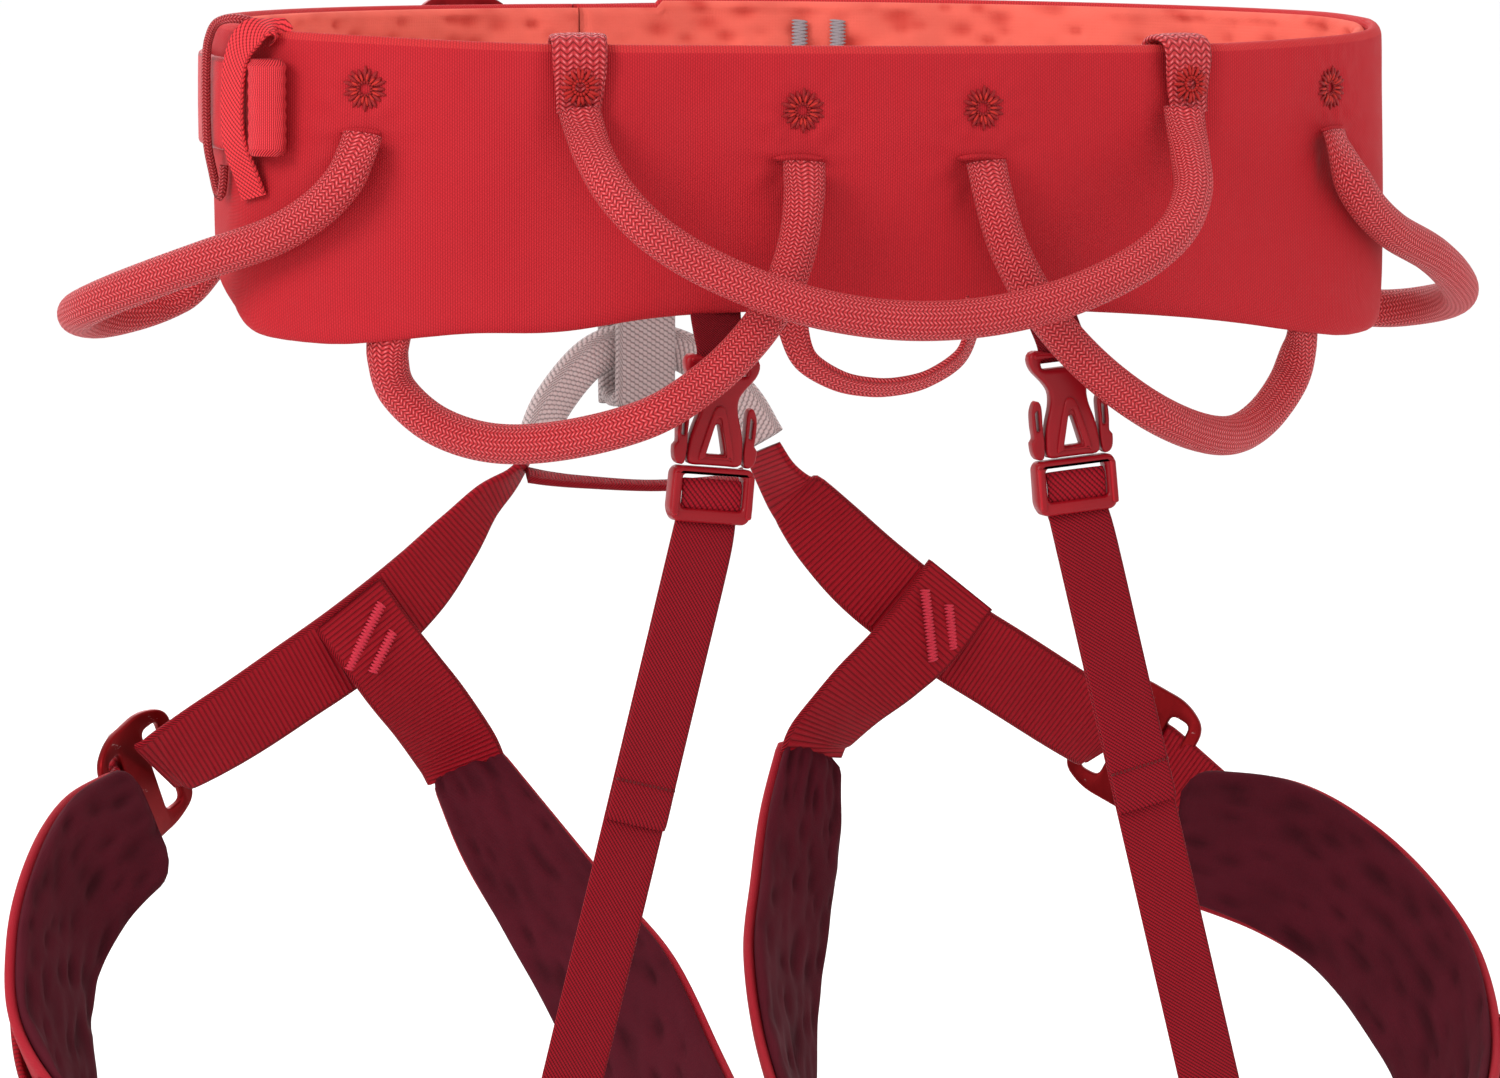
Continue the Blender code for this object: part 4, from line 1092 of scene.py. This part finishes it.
def build_side_release(side):
    place = buckle_place(side)
    label = side_name(side)
    body = round_outline([(3.0, -0.1), (6.5, 1.0), (9.4, 1.1), (10.6, -0.9), (9.8, -4.0), (6.9, -7.6),
                          (5.4, -10.4), (5.5, -14.0), (6.8, -18.4), (7.5, -22.0), (7.7, -27.0), (6.4, -28.3),
                          (3.0, -28.3)], 90)
    slot = rounded([(-7.2, -1.2), (-7.2, -3.9), (7.2, -3.9), (7.2, -1.2)], 1.2, 4)
    window = rounded([(-0.5, -17.2), (-2.7, -25.2), (2.7, -25.2), (0.5, -17.2)], 0.7, 3)
    parts = [bevel_plate("body", body, [slot, window], 4.6, 1.1, place, MAT["plastic"])]
    ridge = round_outline([(0.9, -12.4), (2.0, -14.5), (3.4, -19.5), (4.9, -26.0), (4.4, -27.2),
                           (3.6, -26.6)], 50)
    hollow = rounded([(-0.55, -15.4), (-3.1, -25.9), (3.1, -25.9), (0.55, -15.4)], 0.7, 3)
    for face in (1, -1):
        parts.append(bevel_plate("ridge", ridge, [hollow], 1.4, 0.5, place, MAT["plastic"], level=face * 2.3))
        lip = rounded([(-9.2, 0.4), (-9.2, -0.9), (9.2, -0.9), (9.2, 0.4)], 0.6, 3)
        parts.append(bevel_plate("lip", lip, [], 1.2, 0.45, place, MAT["plastic"], level=face * 2.1))
    set_on(join(f"riser_receiver_{label}_moulding", parts), "waist_belt", f"riser_receiver_{label}")
    outer = rounded(both_sides([(10.4, -28.8), (11.6, -30.4), (11.8, -40.8), (10.2, -43.8)]), 1.8, 5)
    opening = rounded([(-8.7, -30.9), (-8.7, -40.1), (8.7, -40.1), (8.7, -30.9)], 1.2, 4)
    parts = [bevel_plate("frame", outer, [opening], 6.2, 1.3, place, MAT["plastic"])]
    for x in (-10.4, 10.4):
        rail = rounded([(x - 0.9, -30.4), (x - 0.9, -42.2), (x + 0.9, -42.2), (x + 0.9, -30.4)], 0.8, 4)
        parts.append(bevel_plate("rail", rail, [], 1.2, 0.5, place, MAT["plastic"], level=3.0))
    set_on(join(f"riser_frame_{label}_moulding", parts), f"riser_end_{label}", f"riser_frame_{label}")
    panel = [[*place(0, -32.7, 0.2), 16.8], [*place(0, -33.6, 0.9), 17.0], [*place(0, -36, 1.1), 17.0],
             [*place(0, -39.0, 0.9), 17.0], [*place(0, -41.2, -0.4), 16.8]]
    normals = [place(0, y, 1) - place(0, 0, 0) for y in (0.25, 0.1, 0, -0.1, -0.3)]
    obj = ribbon(f"riser_bar_{label}_wrap", panel, np.array(normals), 16.6, 1.1, MAT["panel"], 0.8)
    set_on(obj, f"riser_end_{label}")
    for hand in (-1, 1):
        arm = [(8.6, -28.0), (10.2, -28.3), (11.4, -26.8), (11.7, -23.6), (10.9, -22.4), (11.1, -19.0),
               (10.9, -15.2), (9.8, -12.6), (8.7, -12.6), (8.1, -14.6), (8.2, -20.0), (8.1, -24.0)]
        arm = [(x, y) for x, y, _ in spline([(x, y, 0) for x, y in arm], 50, closed=True)]
        hole = rounded([(9.2, -14.8), (9.1, -20.6), (10.0, -20.6), (10.1, -15.6)], 0.4, 3)
        name = f"riser_arm_{label}_{'outer' if hand == side else 'inner'}"
        mirror = lambda loop: [(x * hand, y) for x, y in loop]
        obj = bevel_plate(name + "_moulding", mirror(arm), [mirror(hole)], 4.0, 0.6, place, MAT["plastic"])
        set_on(obj, name, name)


def riser_point(side, distance, out=0.0):
    top = buckle_place(side)(0, -41.0, 0)
    foot = np.array(RISER_FOOT) * [side, 1, 1]
    return top + unit(foot - top) * distance + np.array([0, -out, 0])


def build_riser(side):
    label = side_name(side)
    place = buckle_place(side)
    rear = np.array([0.0, -1.0, 0.0])
    top = [place(0, up, out)
           for up, out in ((17.0, -9.5), (12.0, -8.4), (7.0, -4.6), (2.2, -0.2), (-2.4, 0.4))]
    obj = ribbon(f"riser_top_strap_{label}_elastic", top, rear, 14.4, 1.5, MAT["elastic_back"], 1.0, lift=-0.8)
    set_on(obj, "waist_belt", f"riser_top_strap_{label}")
    fold = [riser_point(side, down, out)
            for down, out in ((0.5, -2.0), (4, -0.6), (9, 0.5), (18, 0.9), (40, 0.9), (70, 0.95),
                              (83.5, 1.15), (85.5, 0.6))]
    obj = ribbon(f"riser_fold_{label}_elastic", fold, rear, RISER_WIDTH, 1.5, MAT["elastic"], 1.5)
    set_on(obj, f"riser_end_{label}", f"riser_fold_{label}")
    length = np.linalg.norm(np.array(RISER_FOOT) * [side, 1, 1] - buckle_place(side)(0, -41.0, 0))
    path = [riser_point(side, d, -0.8) for d in np.linspace(3, length + 1, 13)]
    obj = ribbon(f"riser_elastic_{label}_band", path, rear, RISER_WIDTH, 1.4, MAT["elastic"], 1.8)
    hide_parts(f"riser_elastic_{label}")
    tuple(riser_point(side, 70) * MM)
    tuple(riser_point(side, length - 12) * MM)
    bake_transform(obj)
    across = unit(np.cross(riser_point(side, 10) - riser_point(side, 0), rear))
    segments = []
    for k in range(15):
        x = (k - 7) * 1.15
        a = riser_point(side, 74.6 + 0.25 * (k % 2), 2.4) + across * (x - 0.42)
        b = riser_point(side, 75.1 - 0.25 * (k % 2), 2.4) + across * (x + 0.42)
        segments.append((a, b, rear))
    obj = stitch_row(f"riser_fold_{label}_stitches", segments, MAT["thread_fold"], 0.42, 0.4)
    set_on(obj, f"riser_end_{label}")


# ---------------------------------------------------------------- tie-in loops

def build_tie_in():
    handle = [(-38, 137.2, 2), (-33, 146, 2), (-21, 152.6, 2), (-7, 154, 2), (7, 154, 2), (21, 152.6, 2),
              (33, 146, 2), (38, 137.2, 2)]
    obj = ribbon("upper_tie_in_webbing", handle, lambda c: unit((c - [0, 100, 2]) * [1, 1, 0]), 19.0, 3.4,
                 MAT["sleeve"], 1.4, lift=-1.7, crown=0.3)
    set_on(obj, "waist_belt", "upper_tie_in_loop")
    lower = [(-34.5, 142.5, -88), (-27.5, 147, -76), (-14, 152, -63.5), (0, 154, -60), (15, 152, -63.5),
             (29, 147.5, -76), (35.5, 143, -88)]
    obj = ribbon("lower_tie_in_webbing", lower, (0, 1, 0), 12.0, 6.0, MAT["arch"], 1.4, lift=-3.0, crown=0.2)
    set_on(obj, "waist_belt", "lower_tie_in_loop")
    middle, top, bottom, depth = 154.0, 18.0, -76.5, 8.2
    path = []
    for base, sign in ((top - depth, 1), (bottom + depth, -1)):
        for degrees in (75, 45, 15, -15, -45, -75):
            turn = math.radians(degrees)
            path.append((0.0, middle - sign * depth * math.sin(turn), base + sign * depth * math.cos(turn)))
    path = np.array(path)

    def outward(centres):
        core = centres.copy()
        core[:, 1] = middle
        core[:, 2] = np.clip(core[:, 2], bottom + depth, top - depth)
        return unit(centres - core)

    obj = ribbon("belay_loop_webbing", path, outward, 18.0, 3.4, MAT["sling"], 1.4, lift=-1.7, closed=True)
    set_on(obj, "belay_loop", "belay_loop")
    x, y, z = TIE_POINT
    bridge = [(-x + 0.5, y - 1, z - 1.0, 8), (-x + 7, y - 1.6, z - 2.2, 7), (-x + 17, y - 2, z - 3.4, 6),
              (0, y - 2, z - 5, 5), (x - 16, y - 2, z - 4.4, 6), (x - 9, y - 2, z - 3, 9)]
    normal = unit(np.array([0, -0.45, 1.0]))
    obj = ribbon("bridge_webbing", bridge, np.tile(normal, (6, 1)), 6.0, 1.9, MAT["web_small"], 1.2)
    set_on(obj, "waist_belt", "bridge_strap")


# ---------------------------------------------------------------- leg loops

PAD_EDGES = [(42, 148, -177, 61, 154, -188), (32, 133, -193, 57, 142, -206), (22, 112, -211, 48, 127, -228),
             (12, 88, -229, 38, 110, -253), (7.5, 62, -252, 30, 88, -285), (7.5, 35, -269, 26, 55, -315),
             (16, 4, -281, 32, 20, -340), (40, -28, -287, 52, -10, -355), (75, -50, -290, 82, -32, -362),
             (112, -57, -290, 114, -41, -364), (150, -50, -285, 146, -35, -358),
             (184, -27, -272, 172, -14, -340),
             (206, 5, -255, 188, 12, -312), (216, 38, -234, 193, 38, -280), (212, 60, -212, 190, 62, -255),
             (200, 82, -193, 184, 84, -233), (184, 104, -182, 170, 98, -216), (162, 124, -178, 152, 110, -204)]


# Height changes of the last rows (top edge, bottom edge): the two legs do not hang alike
PAD_SAG = {1: [(0, 3), (-4, -2), (-6, -9), (-6, -15), (-8, -18)],
           -1: [(0, 0), (0, 0), (0.5, 0), (2.5, 0), (5, 0)]}
# How far the outer end of each pad reaches sideways and forward past the mirrored path
PAD_REACH = {1: (-3.0, 1.5), -1: (0.0, 0.0)}


def pad_surface(side, count):
    rows = np.array(PAD_EDGES, float)
    rows[-5:, (2, 5)] += PAD_SAG[side]
    rows[-1, (0, 3)] += PAD_REACH[side][0]
    rows[-1, (1, 4)] += PAD_REACH[side][1]
    rows[0] += (1.5, 2, 2.5, 1, 2, 3)
    rows[:, (0, 3)] *= side
    path = spline(rows, count)
    top, bottom = path[:, :3], path[:, 3:6]
    middle = (top + bottom) / 2
    outward = middle - [LEG_AXIS[0] * side, LEG_AXIS[1], 0]
    outward[:, 2] = 0
    normal = unit(np.cross(np.gradient(middle, axis=0), top - bottom))
    return top, bottom, normal * np.sign(np.sum(normal * outward, axis=1))[:, None]


def panel_section(height, low, high, edge, rows):
    """(share across, offset, outer face, inner face) round a soft panel of a given height."""
    mid, half = (low + high) / 2, (high - low) / 2
    result = []
    for t in np.linspace(edge, height - edge, rows):
        result.append((t, high, 1.0, 0.0))
    for a in np.linspace(0, 180, 8)[1:-1]:
        result.append((height - edge + edge * math.sin(math.radians(a)), mid + half * math.cos(math.radians(a)),
                       max(0.0, math.cos(math.radians(a))), max(0.0, -math.cos(math.radians(a)))))
    for t in np.linspace(height - edge, edge, rows):
        result.append((t, low, 0.0, 1.0))
    for a in np.linspace(180, 360, 8)[1:-1]:
        result.append((edge + edge * math.sin(math.radians(a)), mid + half * math.cos(math.radians(a)),
                       max(0.0, math.cos(math.radians(a))), max(0.0, -math.cos(math.radians(a)))))
    return np.array(result)


def pad_panel(name, side, low, high, inset, edge, material, crown, dent=None):
    count = 250
    top, bottom, normal = pad_surface(side, count)
    up = unit(top - bottom)
    top, bottom = top - up * inset, bottom + up * inset
    middle = (top + bottom) / 2
    along = lengths(middle)
    height = np.linalg.norm(top - bottom, axis=1)
    ends = np.minimum(along - inset, along[-1] - along - inset)
    corner = np.where(along < along[-1] / 2, 3.6, 8.0)
    d = np.minimum(np.clip(ends, 0.05, None), corner)
    cut = corner - np.sqrt(corner ** 2 - (corner - d) ** 2)
    pinch = np.sqrt(np.clip(1 - (1 - np.clip(ends / 3.5, 0, 1)) ** 2, 0.04, 1))
    rows = []
    for i in range(count):
        section = panel_section(height[i] - 2 * cut[i], low, high, edge, 26)
        section[:, 0] += cut[i]
        rows.append(section)
    rows = np.array(rows)
    share = rows[..., 0] / height[:, None]
    s = np.repeat(along[:, None], rows.shape[1], axis=1)
    offset = rows[..., 1].copy()
    bulge = crown * np.sin(math.pi * np.clip(share, 0, 1)) ** 0.7
    soft = 0.35 * np.sin(s / 13.0 + share * 2) * np.sin(share * math.pi) + 0.25 * np.sin(s / 29.0 + 2)
    offset += (bulge + soft * 0.6) * rows[..., 2]
    dip = None
    if dent:
        relief, dip = dimples(s, share * 60.0, 10.5, dent, 3.4, 5 + side, -2, 62)
        offset -= (relief + bulge * 0.5) * rows[..., 3]
        # dip becomes the painted shade share in the pad lining dimples
        dip = dip * rows[..., 3]
    mid = (low + high) / 2
    offset = mid + (offset - mid) * pinch[:, None]
    points = (bottom[:, None, :] + (top - bottom)[:, None, :] * share[..., None]
              + normal[:, None, :] * offset[..., None])
    around = np.array([lengths(np.stack([q[:, 0], q[:, 1]], axis=1), True) for q in rows])
    uvs = np.stack([np.repeat(along[:, None], around.shape[1], axis=1), around], axis=-1)
    return grid_piece(name, points, uvs, material, dip=dip)


def pad_frame(side, share, height, lift):
    """A point over the pad, and its outward and upward directions."""
    top, bottom, normal = pad_surface(side, 201)
    x = share * 200
    i = min(199, int(x))
    f = x - i
    t = top[i] * (1 - f) + top[i + 1] * f
    b = bottom[i] * (1 - f) + bottom[i + 1] * f
    n = unit(normal[i] * (1 - f) + normal[i + 1] * f)
    return b * (1 - height) + t * height + n * lift, n, unit(t - b)


# How the webs drift from the mirrored path (x, y, z, width)
LEG_DRIFT = {-1: np.array([-1.2, 0, 1.4, 0]), 1: np.array([-1.6, 0, -1.2, 0])}
# The right inner web curls inward on its way to the pad
LEG_CURL = np.array([(-0.5, 0, 0, 0), (-2, 0, -0.5, 0), (-4, 0, -1, 0), (-4.5, 0, -1, 0), (-2.5, 0, 0, 0),
                     (-0.5, 0, 0.5, 0)])


def build_leg(side):
    label = side_name(side)
    body = f"leg_{label}"
    obj = pad_panel(f"leg_pad_{label}_cover", side, 0.0, 3.0, 0.0, 2.4, MAT["pad"], 0.9)
    set_on(obj, body, f"leg_pad_outer_{label}", soft=0.6)
    obj = pad_panel(f"leg_pad_{label}_lining", side, -3.6, -0.3, 0.6, 2.0, MAT["pad_lining"], 0.8, dent=1.7)
    set_on(obj, body, f"leg_pad_lining_{label}", soft=0.5)
    x, y, z = TIE_POINT
    head = {-1: [(x - 6.0, y + 1, z + 8.5, 6.5), (x - 3.5, y, z + 3, 8), (x + 1.5, y, z - 3.5, 10.5)],
            1: [(x - 2.5, y + 1, z + 6, 15), (x + 1, y, z - 1, 17), (x + 6, y, z - 7, 19)]}[side]
    neck = {-1: (14.0, 18.0, 22.5), 1: (20.0, 23.0, 25.0)}[side]
    front = mirrored([*head, (48, y, -106, neck[0]), (57, y - 1, -116, neck[1]),
                      (69, y - 3, -128, neck[2]), (86, y - 5.5, -141.5, 25), (108, y - 6.5, -155.5, 25),
                      (128, y - 5, -168, 25), (141, y - 2.5, -176, 25), (146.5, y + 1, -178.6, 25)], side)
    front += LEG_DRIFT[side]
    normals = mirrored([(0.85, 0.5, 0.4), (0.85, 0.5, 0.4), (0.7, 0.65, 0.35), (0.5, 0.9, 0.25),
                        (0.3, 1, 0.1), (0.2, 1, 0.1), (0.2, 1, 0.1), (0.25, 1, 0.1), (0.35, 0.95, 0.1), (0.5, 0.85, 0.1), (0.6, 0.8, 0.1)], side)
    obj = ribbon(f"leg_front_{label}_webbing", front, unit(normals), 25.0, 2.2, MAT["web"], 1.4, ripple=0.25)
    set_on(obj, body, f"leg_web_front_{label}")
    inner = mirrored([(93, y - 8.2, -131.0, 24.5), (84, y - 9.0, -143.5, 24.5),
                      (76, y - 6.5, -153.5, 24.5), (67, y - 1.5, -163.5, 24.5),
                      (57, y + 5.5, -175.5, 24.5), (53, y + 8.0, -182, 24)], side)
    if side > 0:
        inner += LEG_CURL
    normals = mirrored([(0.1, 1, 0.05), (0.1, 1, 0.05), (-0.1, 1, 0.1), (-0.3, 1, 0.1), (-0.4, 1, 0.1),
                        (-0.4, 1, 0.1)], side)
    obj = ribbon(f"leg_inner_{label}_webbing", inner, unit(normals), 24.5, 2.0, MAT["web"], 1.4, ripple=0.2)
    set_on(obj, body, f"leg_web_inner_{label}")
    build_leg_stitches(side)
    build_leg_buckle(side)
    place, out, _, _ = leg_buckle_place(side)
    rows = [place(0, -1.5, 4.6), place(0, 2.2, 4.0), place(0, 6.0, 1.5), place(0, 9.5, -0.8)]
    normals = [out, out, out, out]
    for share in np.linspace(0.955, 0.70, 11):
        p, n, _ = pad_frame(side, share, 0.54, 4.6)
        rows.append(p)
        normals.append(n)
    obj = ribbon(f"leg_adjuster_{label}_webbing", rows, np.array(normals), 20.0, 2.2, MAT["web"], 1.5)
    set_on(obj, body, f"leg_adjuster_web_{label}")
    rows, normals = [], []
    for h, lift in ((0.0, 2.2), (0.1, 4.2), (0.24, 6.6), (0.36, 8.2), (0.52, 8.5), (0.68, 8.2), (0.8, 6.6),
                    (0.92, 4.2), (1.0, 2.2)):
        p, n, _ = pad_frame(side, 0.755, h, lift)
        rows.append(p)
        normals.append(n)
    obj = ribbon(f"leg_keeper_{label}_band", rows, np.array(normals), 22.0, 1.4, MAT["pad_band"], 1.2)
    set_on(obj, body, f"leg_keeper_{label}")


def build_leg_stitches(side):
    """Zigzag bartacks over the folded T and its branches, on the side that faces the thigh."""
    y = TIE_POINT[1]
    back = unit(np.array([0.05 * side, -1, -0.05]))
    down = unit(np.array([6.5 * side if side < 0 else 1.5, 0, -12.0]))
    across = unit(np.cross(down, back))
    centre = np.array([85.5 * side, y - 9.3, -142.0])
    segments = zigzag(centre + across * 3.4, down, across, back, 21.0, 3.2, 1.0)
    segments += zigzag(centre - across * 3.4 + down * 1.5, down, across, back, 13.0, 3.0, 1.0)
    set_on(stitch_row(f"leg_fold_{side_name(side)}_stitches", segments, MAT["thread_web"], 0.34, 0.35),
           f"leg_{side_name(side)}")


def leg_buckle_place(side):
    centre = np.array([151.0 * side, 145.5, -181.0])
    out = unit(np.array([0.55 * side, 0.83, 0.05]))
    along = np.array([0.70 * side, -0.45, -0.45])
    along = unit(along - out * float(along @ out))
    across = unit(np.cross(out, along))
    return (lambda x, y, z: centre + across * x + along * y + out * z), out, along, across


def adjuster(owner, body, place, slot_half, suffix):
    wide = slot_half + 5.5
    outline = rounded([(wide, 8), (wide - 4, 16), (4 - wide, 16), (-wide, 8), (-wide, -8), (4 - wide, -16),
                       (wide - 4, -16), (wide, -8)], 5, 7)
    slots = [rounded([(slot_half, c + 3.2), (-slot_half, c + 3.2), (-slot_half, c - 3.2),
                      (slot_half, c - 3.2)], 2.2, 5) for c in (8.6, -8.6)]
    bend = lambda x, y: -0.008 * y * y + 0.6
    obj = bevel_plate(f"{owner}_plate{suffix}", outline, slots, 2.4, 0.7, place,
                      MAT["anodised"], MAT["polished"], bend)
    set_on(obj, body, f"{owner}_buckle_plate{suffix}")
    bar = rounded([(wide - 2, 3.2), (2 - wide, 3.2), (2 - wide, -3.2), (wide - 2, -3.2)], 1.6, 5)
    obj = bevel_plate(f"{owner}_bar{suffix}", bar, [], 2.2, 0.8, place, MAT["polished"], level=3.9)
    set_on(obj, body, f"{owner}_buckle_bar{suffix}")


def build_leg_buckle(side):
    place = leg_buckle_place(side)[0]
    adjuster("leg", f"leg_buckle_{side_name(side)}", place, 13.5, f"_{side_name(side)}")


# ---------------------------------------------------------------- waist webbing and its keeper

def along_belt(start_deg, end_deg, offset, heights, count=9):
    rows, normals = [], []
    for i, angle in enumerate(np.radians(np.linspace(start_deg, end_deg, count))):
        base, out = belt_plan(angle, np.array([offset]))
        z = np.interp(i / (count - 1), np.linspace(0, 1, len(heights)), heights)
        rows.append([base[0][0], base[0][1], z])
        normals.append(out[0])
    return np.array(rows), np.array(normals)


def beside_belt(stops):
    """Points beside the belt, from (degrees, offset, height) stops."""
    rows = []
    for degrees, offset, height in stops:
        base, _ = belt_plan(math.radians(degrees), np.array([offset]))
        rows.append([base[0][0], base[0][1], height])
    return rows


def build_waist_web():
    """The strip round the front, and the stowed end that runs back along the left side."""
    rows, normals = along_belt(152, 192, 1.2, [27, 26, 26], 11)
    obj = ribbon("waist_front_webbing", rows, normals, 25.0, 2.2, MAT["web_light"], 1.5)
    set_on(obj, "waist_belt", "waist_web")
    rows, normals = along_belt(-148, -75.5, 2.3, [22, 19, 19, 18.3], 21)
    obj = ribbon("waist_tail_webbing", rows, normals, 25.0, 2.2, MAT["satin"], 1.3)
    set_on(obj, "waist_belt", "waist_web_tail")


def build_tail_roll():
    """The stowed end rolled up on itself."""
    angle, level, half, sides = math.radians(-72.8), 18.3, 13, 36
    centre = belt_plan(angle, np.array([5.2]))[0][0]
    out = belt_plan(angle)[1][0]
    side = unit(np.cross([0, 0, 1], out))
    turn = 2 * math.pi * np.arange(sides) / sides
    hump = 1 + 0.12 * np.cos(2 * turn + 0.6)
    tube, uvs = [], []
    for h in np.linspace(-half, half, 40):
        edge = min(h + half, half - h)
        r = 3.9 * (0.82 + 0.18 * smooth(edge, 0, 1.6)) + 0.12 * math.sin(h * 1.9)
        ring = side[None] * np.cos(turn)[:, None] * 1.25 + out[None] * np.sin(turn)[:, None]
        tube.append(centre + ring * (r * hump)[:, None] + np.array([0, 0, level + h]))
        uvs.append(np.stack([np.arange(sides + 1) / sides * 29.0, np.full(sides + 1, h)], axis=1))
    set_on(grid_piece("waist_tail_roll", tube, np.array(uvs), MAT["satin"]), "waist_belt")


def build_waist_buckle():
    centre, out = belt_plan(math.radians(-159.5), np.array([4.0]))
    centre, out = centre[0], out[0]
    centre[2] = 22.0
    along = unit(np.cross([0, 0, 1], out))
    place = lambda x, y, z: centre + np.array([0, 0, x]) + along * y + out * (z + 0.5)
    adjuster("waist", "waist_buckle", place, 14.5, "")


def build_tail_keeper():
    """Elastic ribbon from the lining, over the rim and down across the stowed end."""
    stops = ((-73, -2.5, 37.2), (-74.4, 1.2, 39.2), (-77, 4.6, 37.2), (-79.4, 5.8, 31), (-80.4, 6.0, 20),
             (-80, 5.8, 9), (-78.6, 3.4, 0), (-77.6, 1.8, -6))
    normals = [belt_plan(math.radians(degrees))[1][0] + (np.array([0, 0, 1.5]) if z > 38 else 0)
               for degrees, _, z in stops]
    obj = ribbon("tail_keeper_band", beside_belt(stops), unit(np.array(normals)), 9.0, 1.2,
                 MAT["keeper"], 1.0)
    set_on(obj, "waist_belt", "tail_keeper_ribbon")


def build_tool_loop():
    """Thin cord over the rim and down beside the stowed end."""
    count, sides, radius = 60, 14, 1.25
    path = spline(beside_belt((
        (-76, -1.5, 37.5), (-78, 1, 40.5), (-81.5, 4.5, 41.8), (-86, 6.2, 40.5), (-89.5, 6.6, 36),
        (-91, 6.4, 30), (-91.3, 6.3, 20), (-91.3, 6.0, 8), (-91.2, 4.6, 0), (-90.6, 3.8, -5.2),
        (-89.4, 3.6, -6.4), (-88.2, 3.4, -3.5), (-87.8, 3.2, 2))), count)
    across, out = frames(path, np.tile([0.0, -1.0, 0.0], (count, 1)))
    turn = 2 * math.pi * np.arange(sides) / sides
    rings = [centre + radius * (w * np.cos(turn)[:, None] + o * np.sin(turn)[:, None])
             for centre, w, o in zip(path, across, out)]
    uvs = np.array([[(a, q * 0.56) for q in range(sides + 1)] for a in lengths(path)])
    set_on(grid_piece("tool_loop_braid", rings, uvs, MAT["cord"]), "waist_belt", "tool_loop_cord")


# ---------------------------------------------------------------- stage, light, camera

def build_stage():
    mesh = bpy.data.meshes.new("studio_floor")
    size, level = 40.0, float(CAD_BOX[0].z) - 0.002
    corners = [(x * size, y * size, level) for x, y in ((-1, -1), (1, -1), (1, 1), (-1, 1))]
    mesh.from_pydata(corners, [], [(0, 1, 2, 3)])
    material = bpy.data.materials.new("studio_floor_paint")
    material.use_nodes = True
    paint = material.node_tree.nodes["Principled BSDF"].inputs
    paint["Base Color"].default_value = (0.93, 0.93, 0.93, 1)
    paint["Roughness"].default_value = 0.9
    mesh.materials.append(material)
    floor = bpy.data.objects.new("studio_floor", mesh)
    bpy.context.scene.collection.objects.link(floor)
    world = bpy.data.worlds.new("studio_world")
    world.use_nodes = True
    sky = world.node_tree.nodes["Background"].inputs
    sky["Color"].default_value = (1.0, 1.0, 1.0, 1.0)
    sky["Strength"].default_value = WORLD_STRENGTH
    bpy.context.scene.world = world


def build_lights():
    for name, place, size, power in LIGHTS:
        data = bpy.data.lights.new(name, "AREA")
        data.shape = "DISK"
        data.size = size
        data.energy = power
        lamp = bpy.data.objects.new(name, data)
        bpy.context.scene.collection.objects.link(lamp)
        lamp.location = place
        aim = Vector((0, 0, -0.12)) - lamp.location
        lamp.rotation_mode = "QUATERNION"
        lamp.rotation_quaternion = aim.to_track_quat("-Z", "Y")


def build_camera():
    a, e = math.radians(CAMERA_AZIMUTH), math.radians(CAMERA_ELEVATION)
    back = Vector((math.sin(a) * math.cos(e), -math.cos(a) * math.cos(e), math.sin(e)))
    data = bpy.data.cameras.new("camera")
    data.sensor_width = 36.0
    data.lens = CAMERA_LENS
    data.clip_start = 0.1
    data.clip_end = 100.0
    camera = bpy.data.objects.new("camera", data)
    bpy.context.scene.collection.objects.link(camera)
    camera.location = Vector(CAMERA_TARGET) + back * CAMERA_DISTANCE
    camera.rotation_mode = "QUATERNION"
    camera.rotation_quaternion = (-back).to_track_quat("-Z", "Y")
    bpy.context.scene.camera = camera
    bpy.context.scene.view_settings.view_transform = "Standard"


build_camera()
build_stage()
build_lights()
build_belt_cover()
build_belt_lining()
build_stars()
build_slot_lips()
build_gear_loops()
build_tabs()
build_haul_loop()
for hand in (-1, 1):
    build_side_release(hand)
    build_riser(hand)
build_tie_in()
for hand in (-1, 1):
    build_leg(hand)
build_waist_web()
build_tail_roll()
build_waist_buckle()
build_tail_keeper()
build_tool_loop()
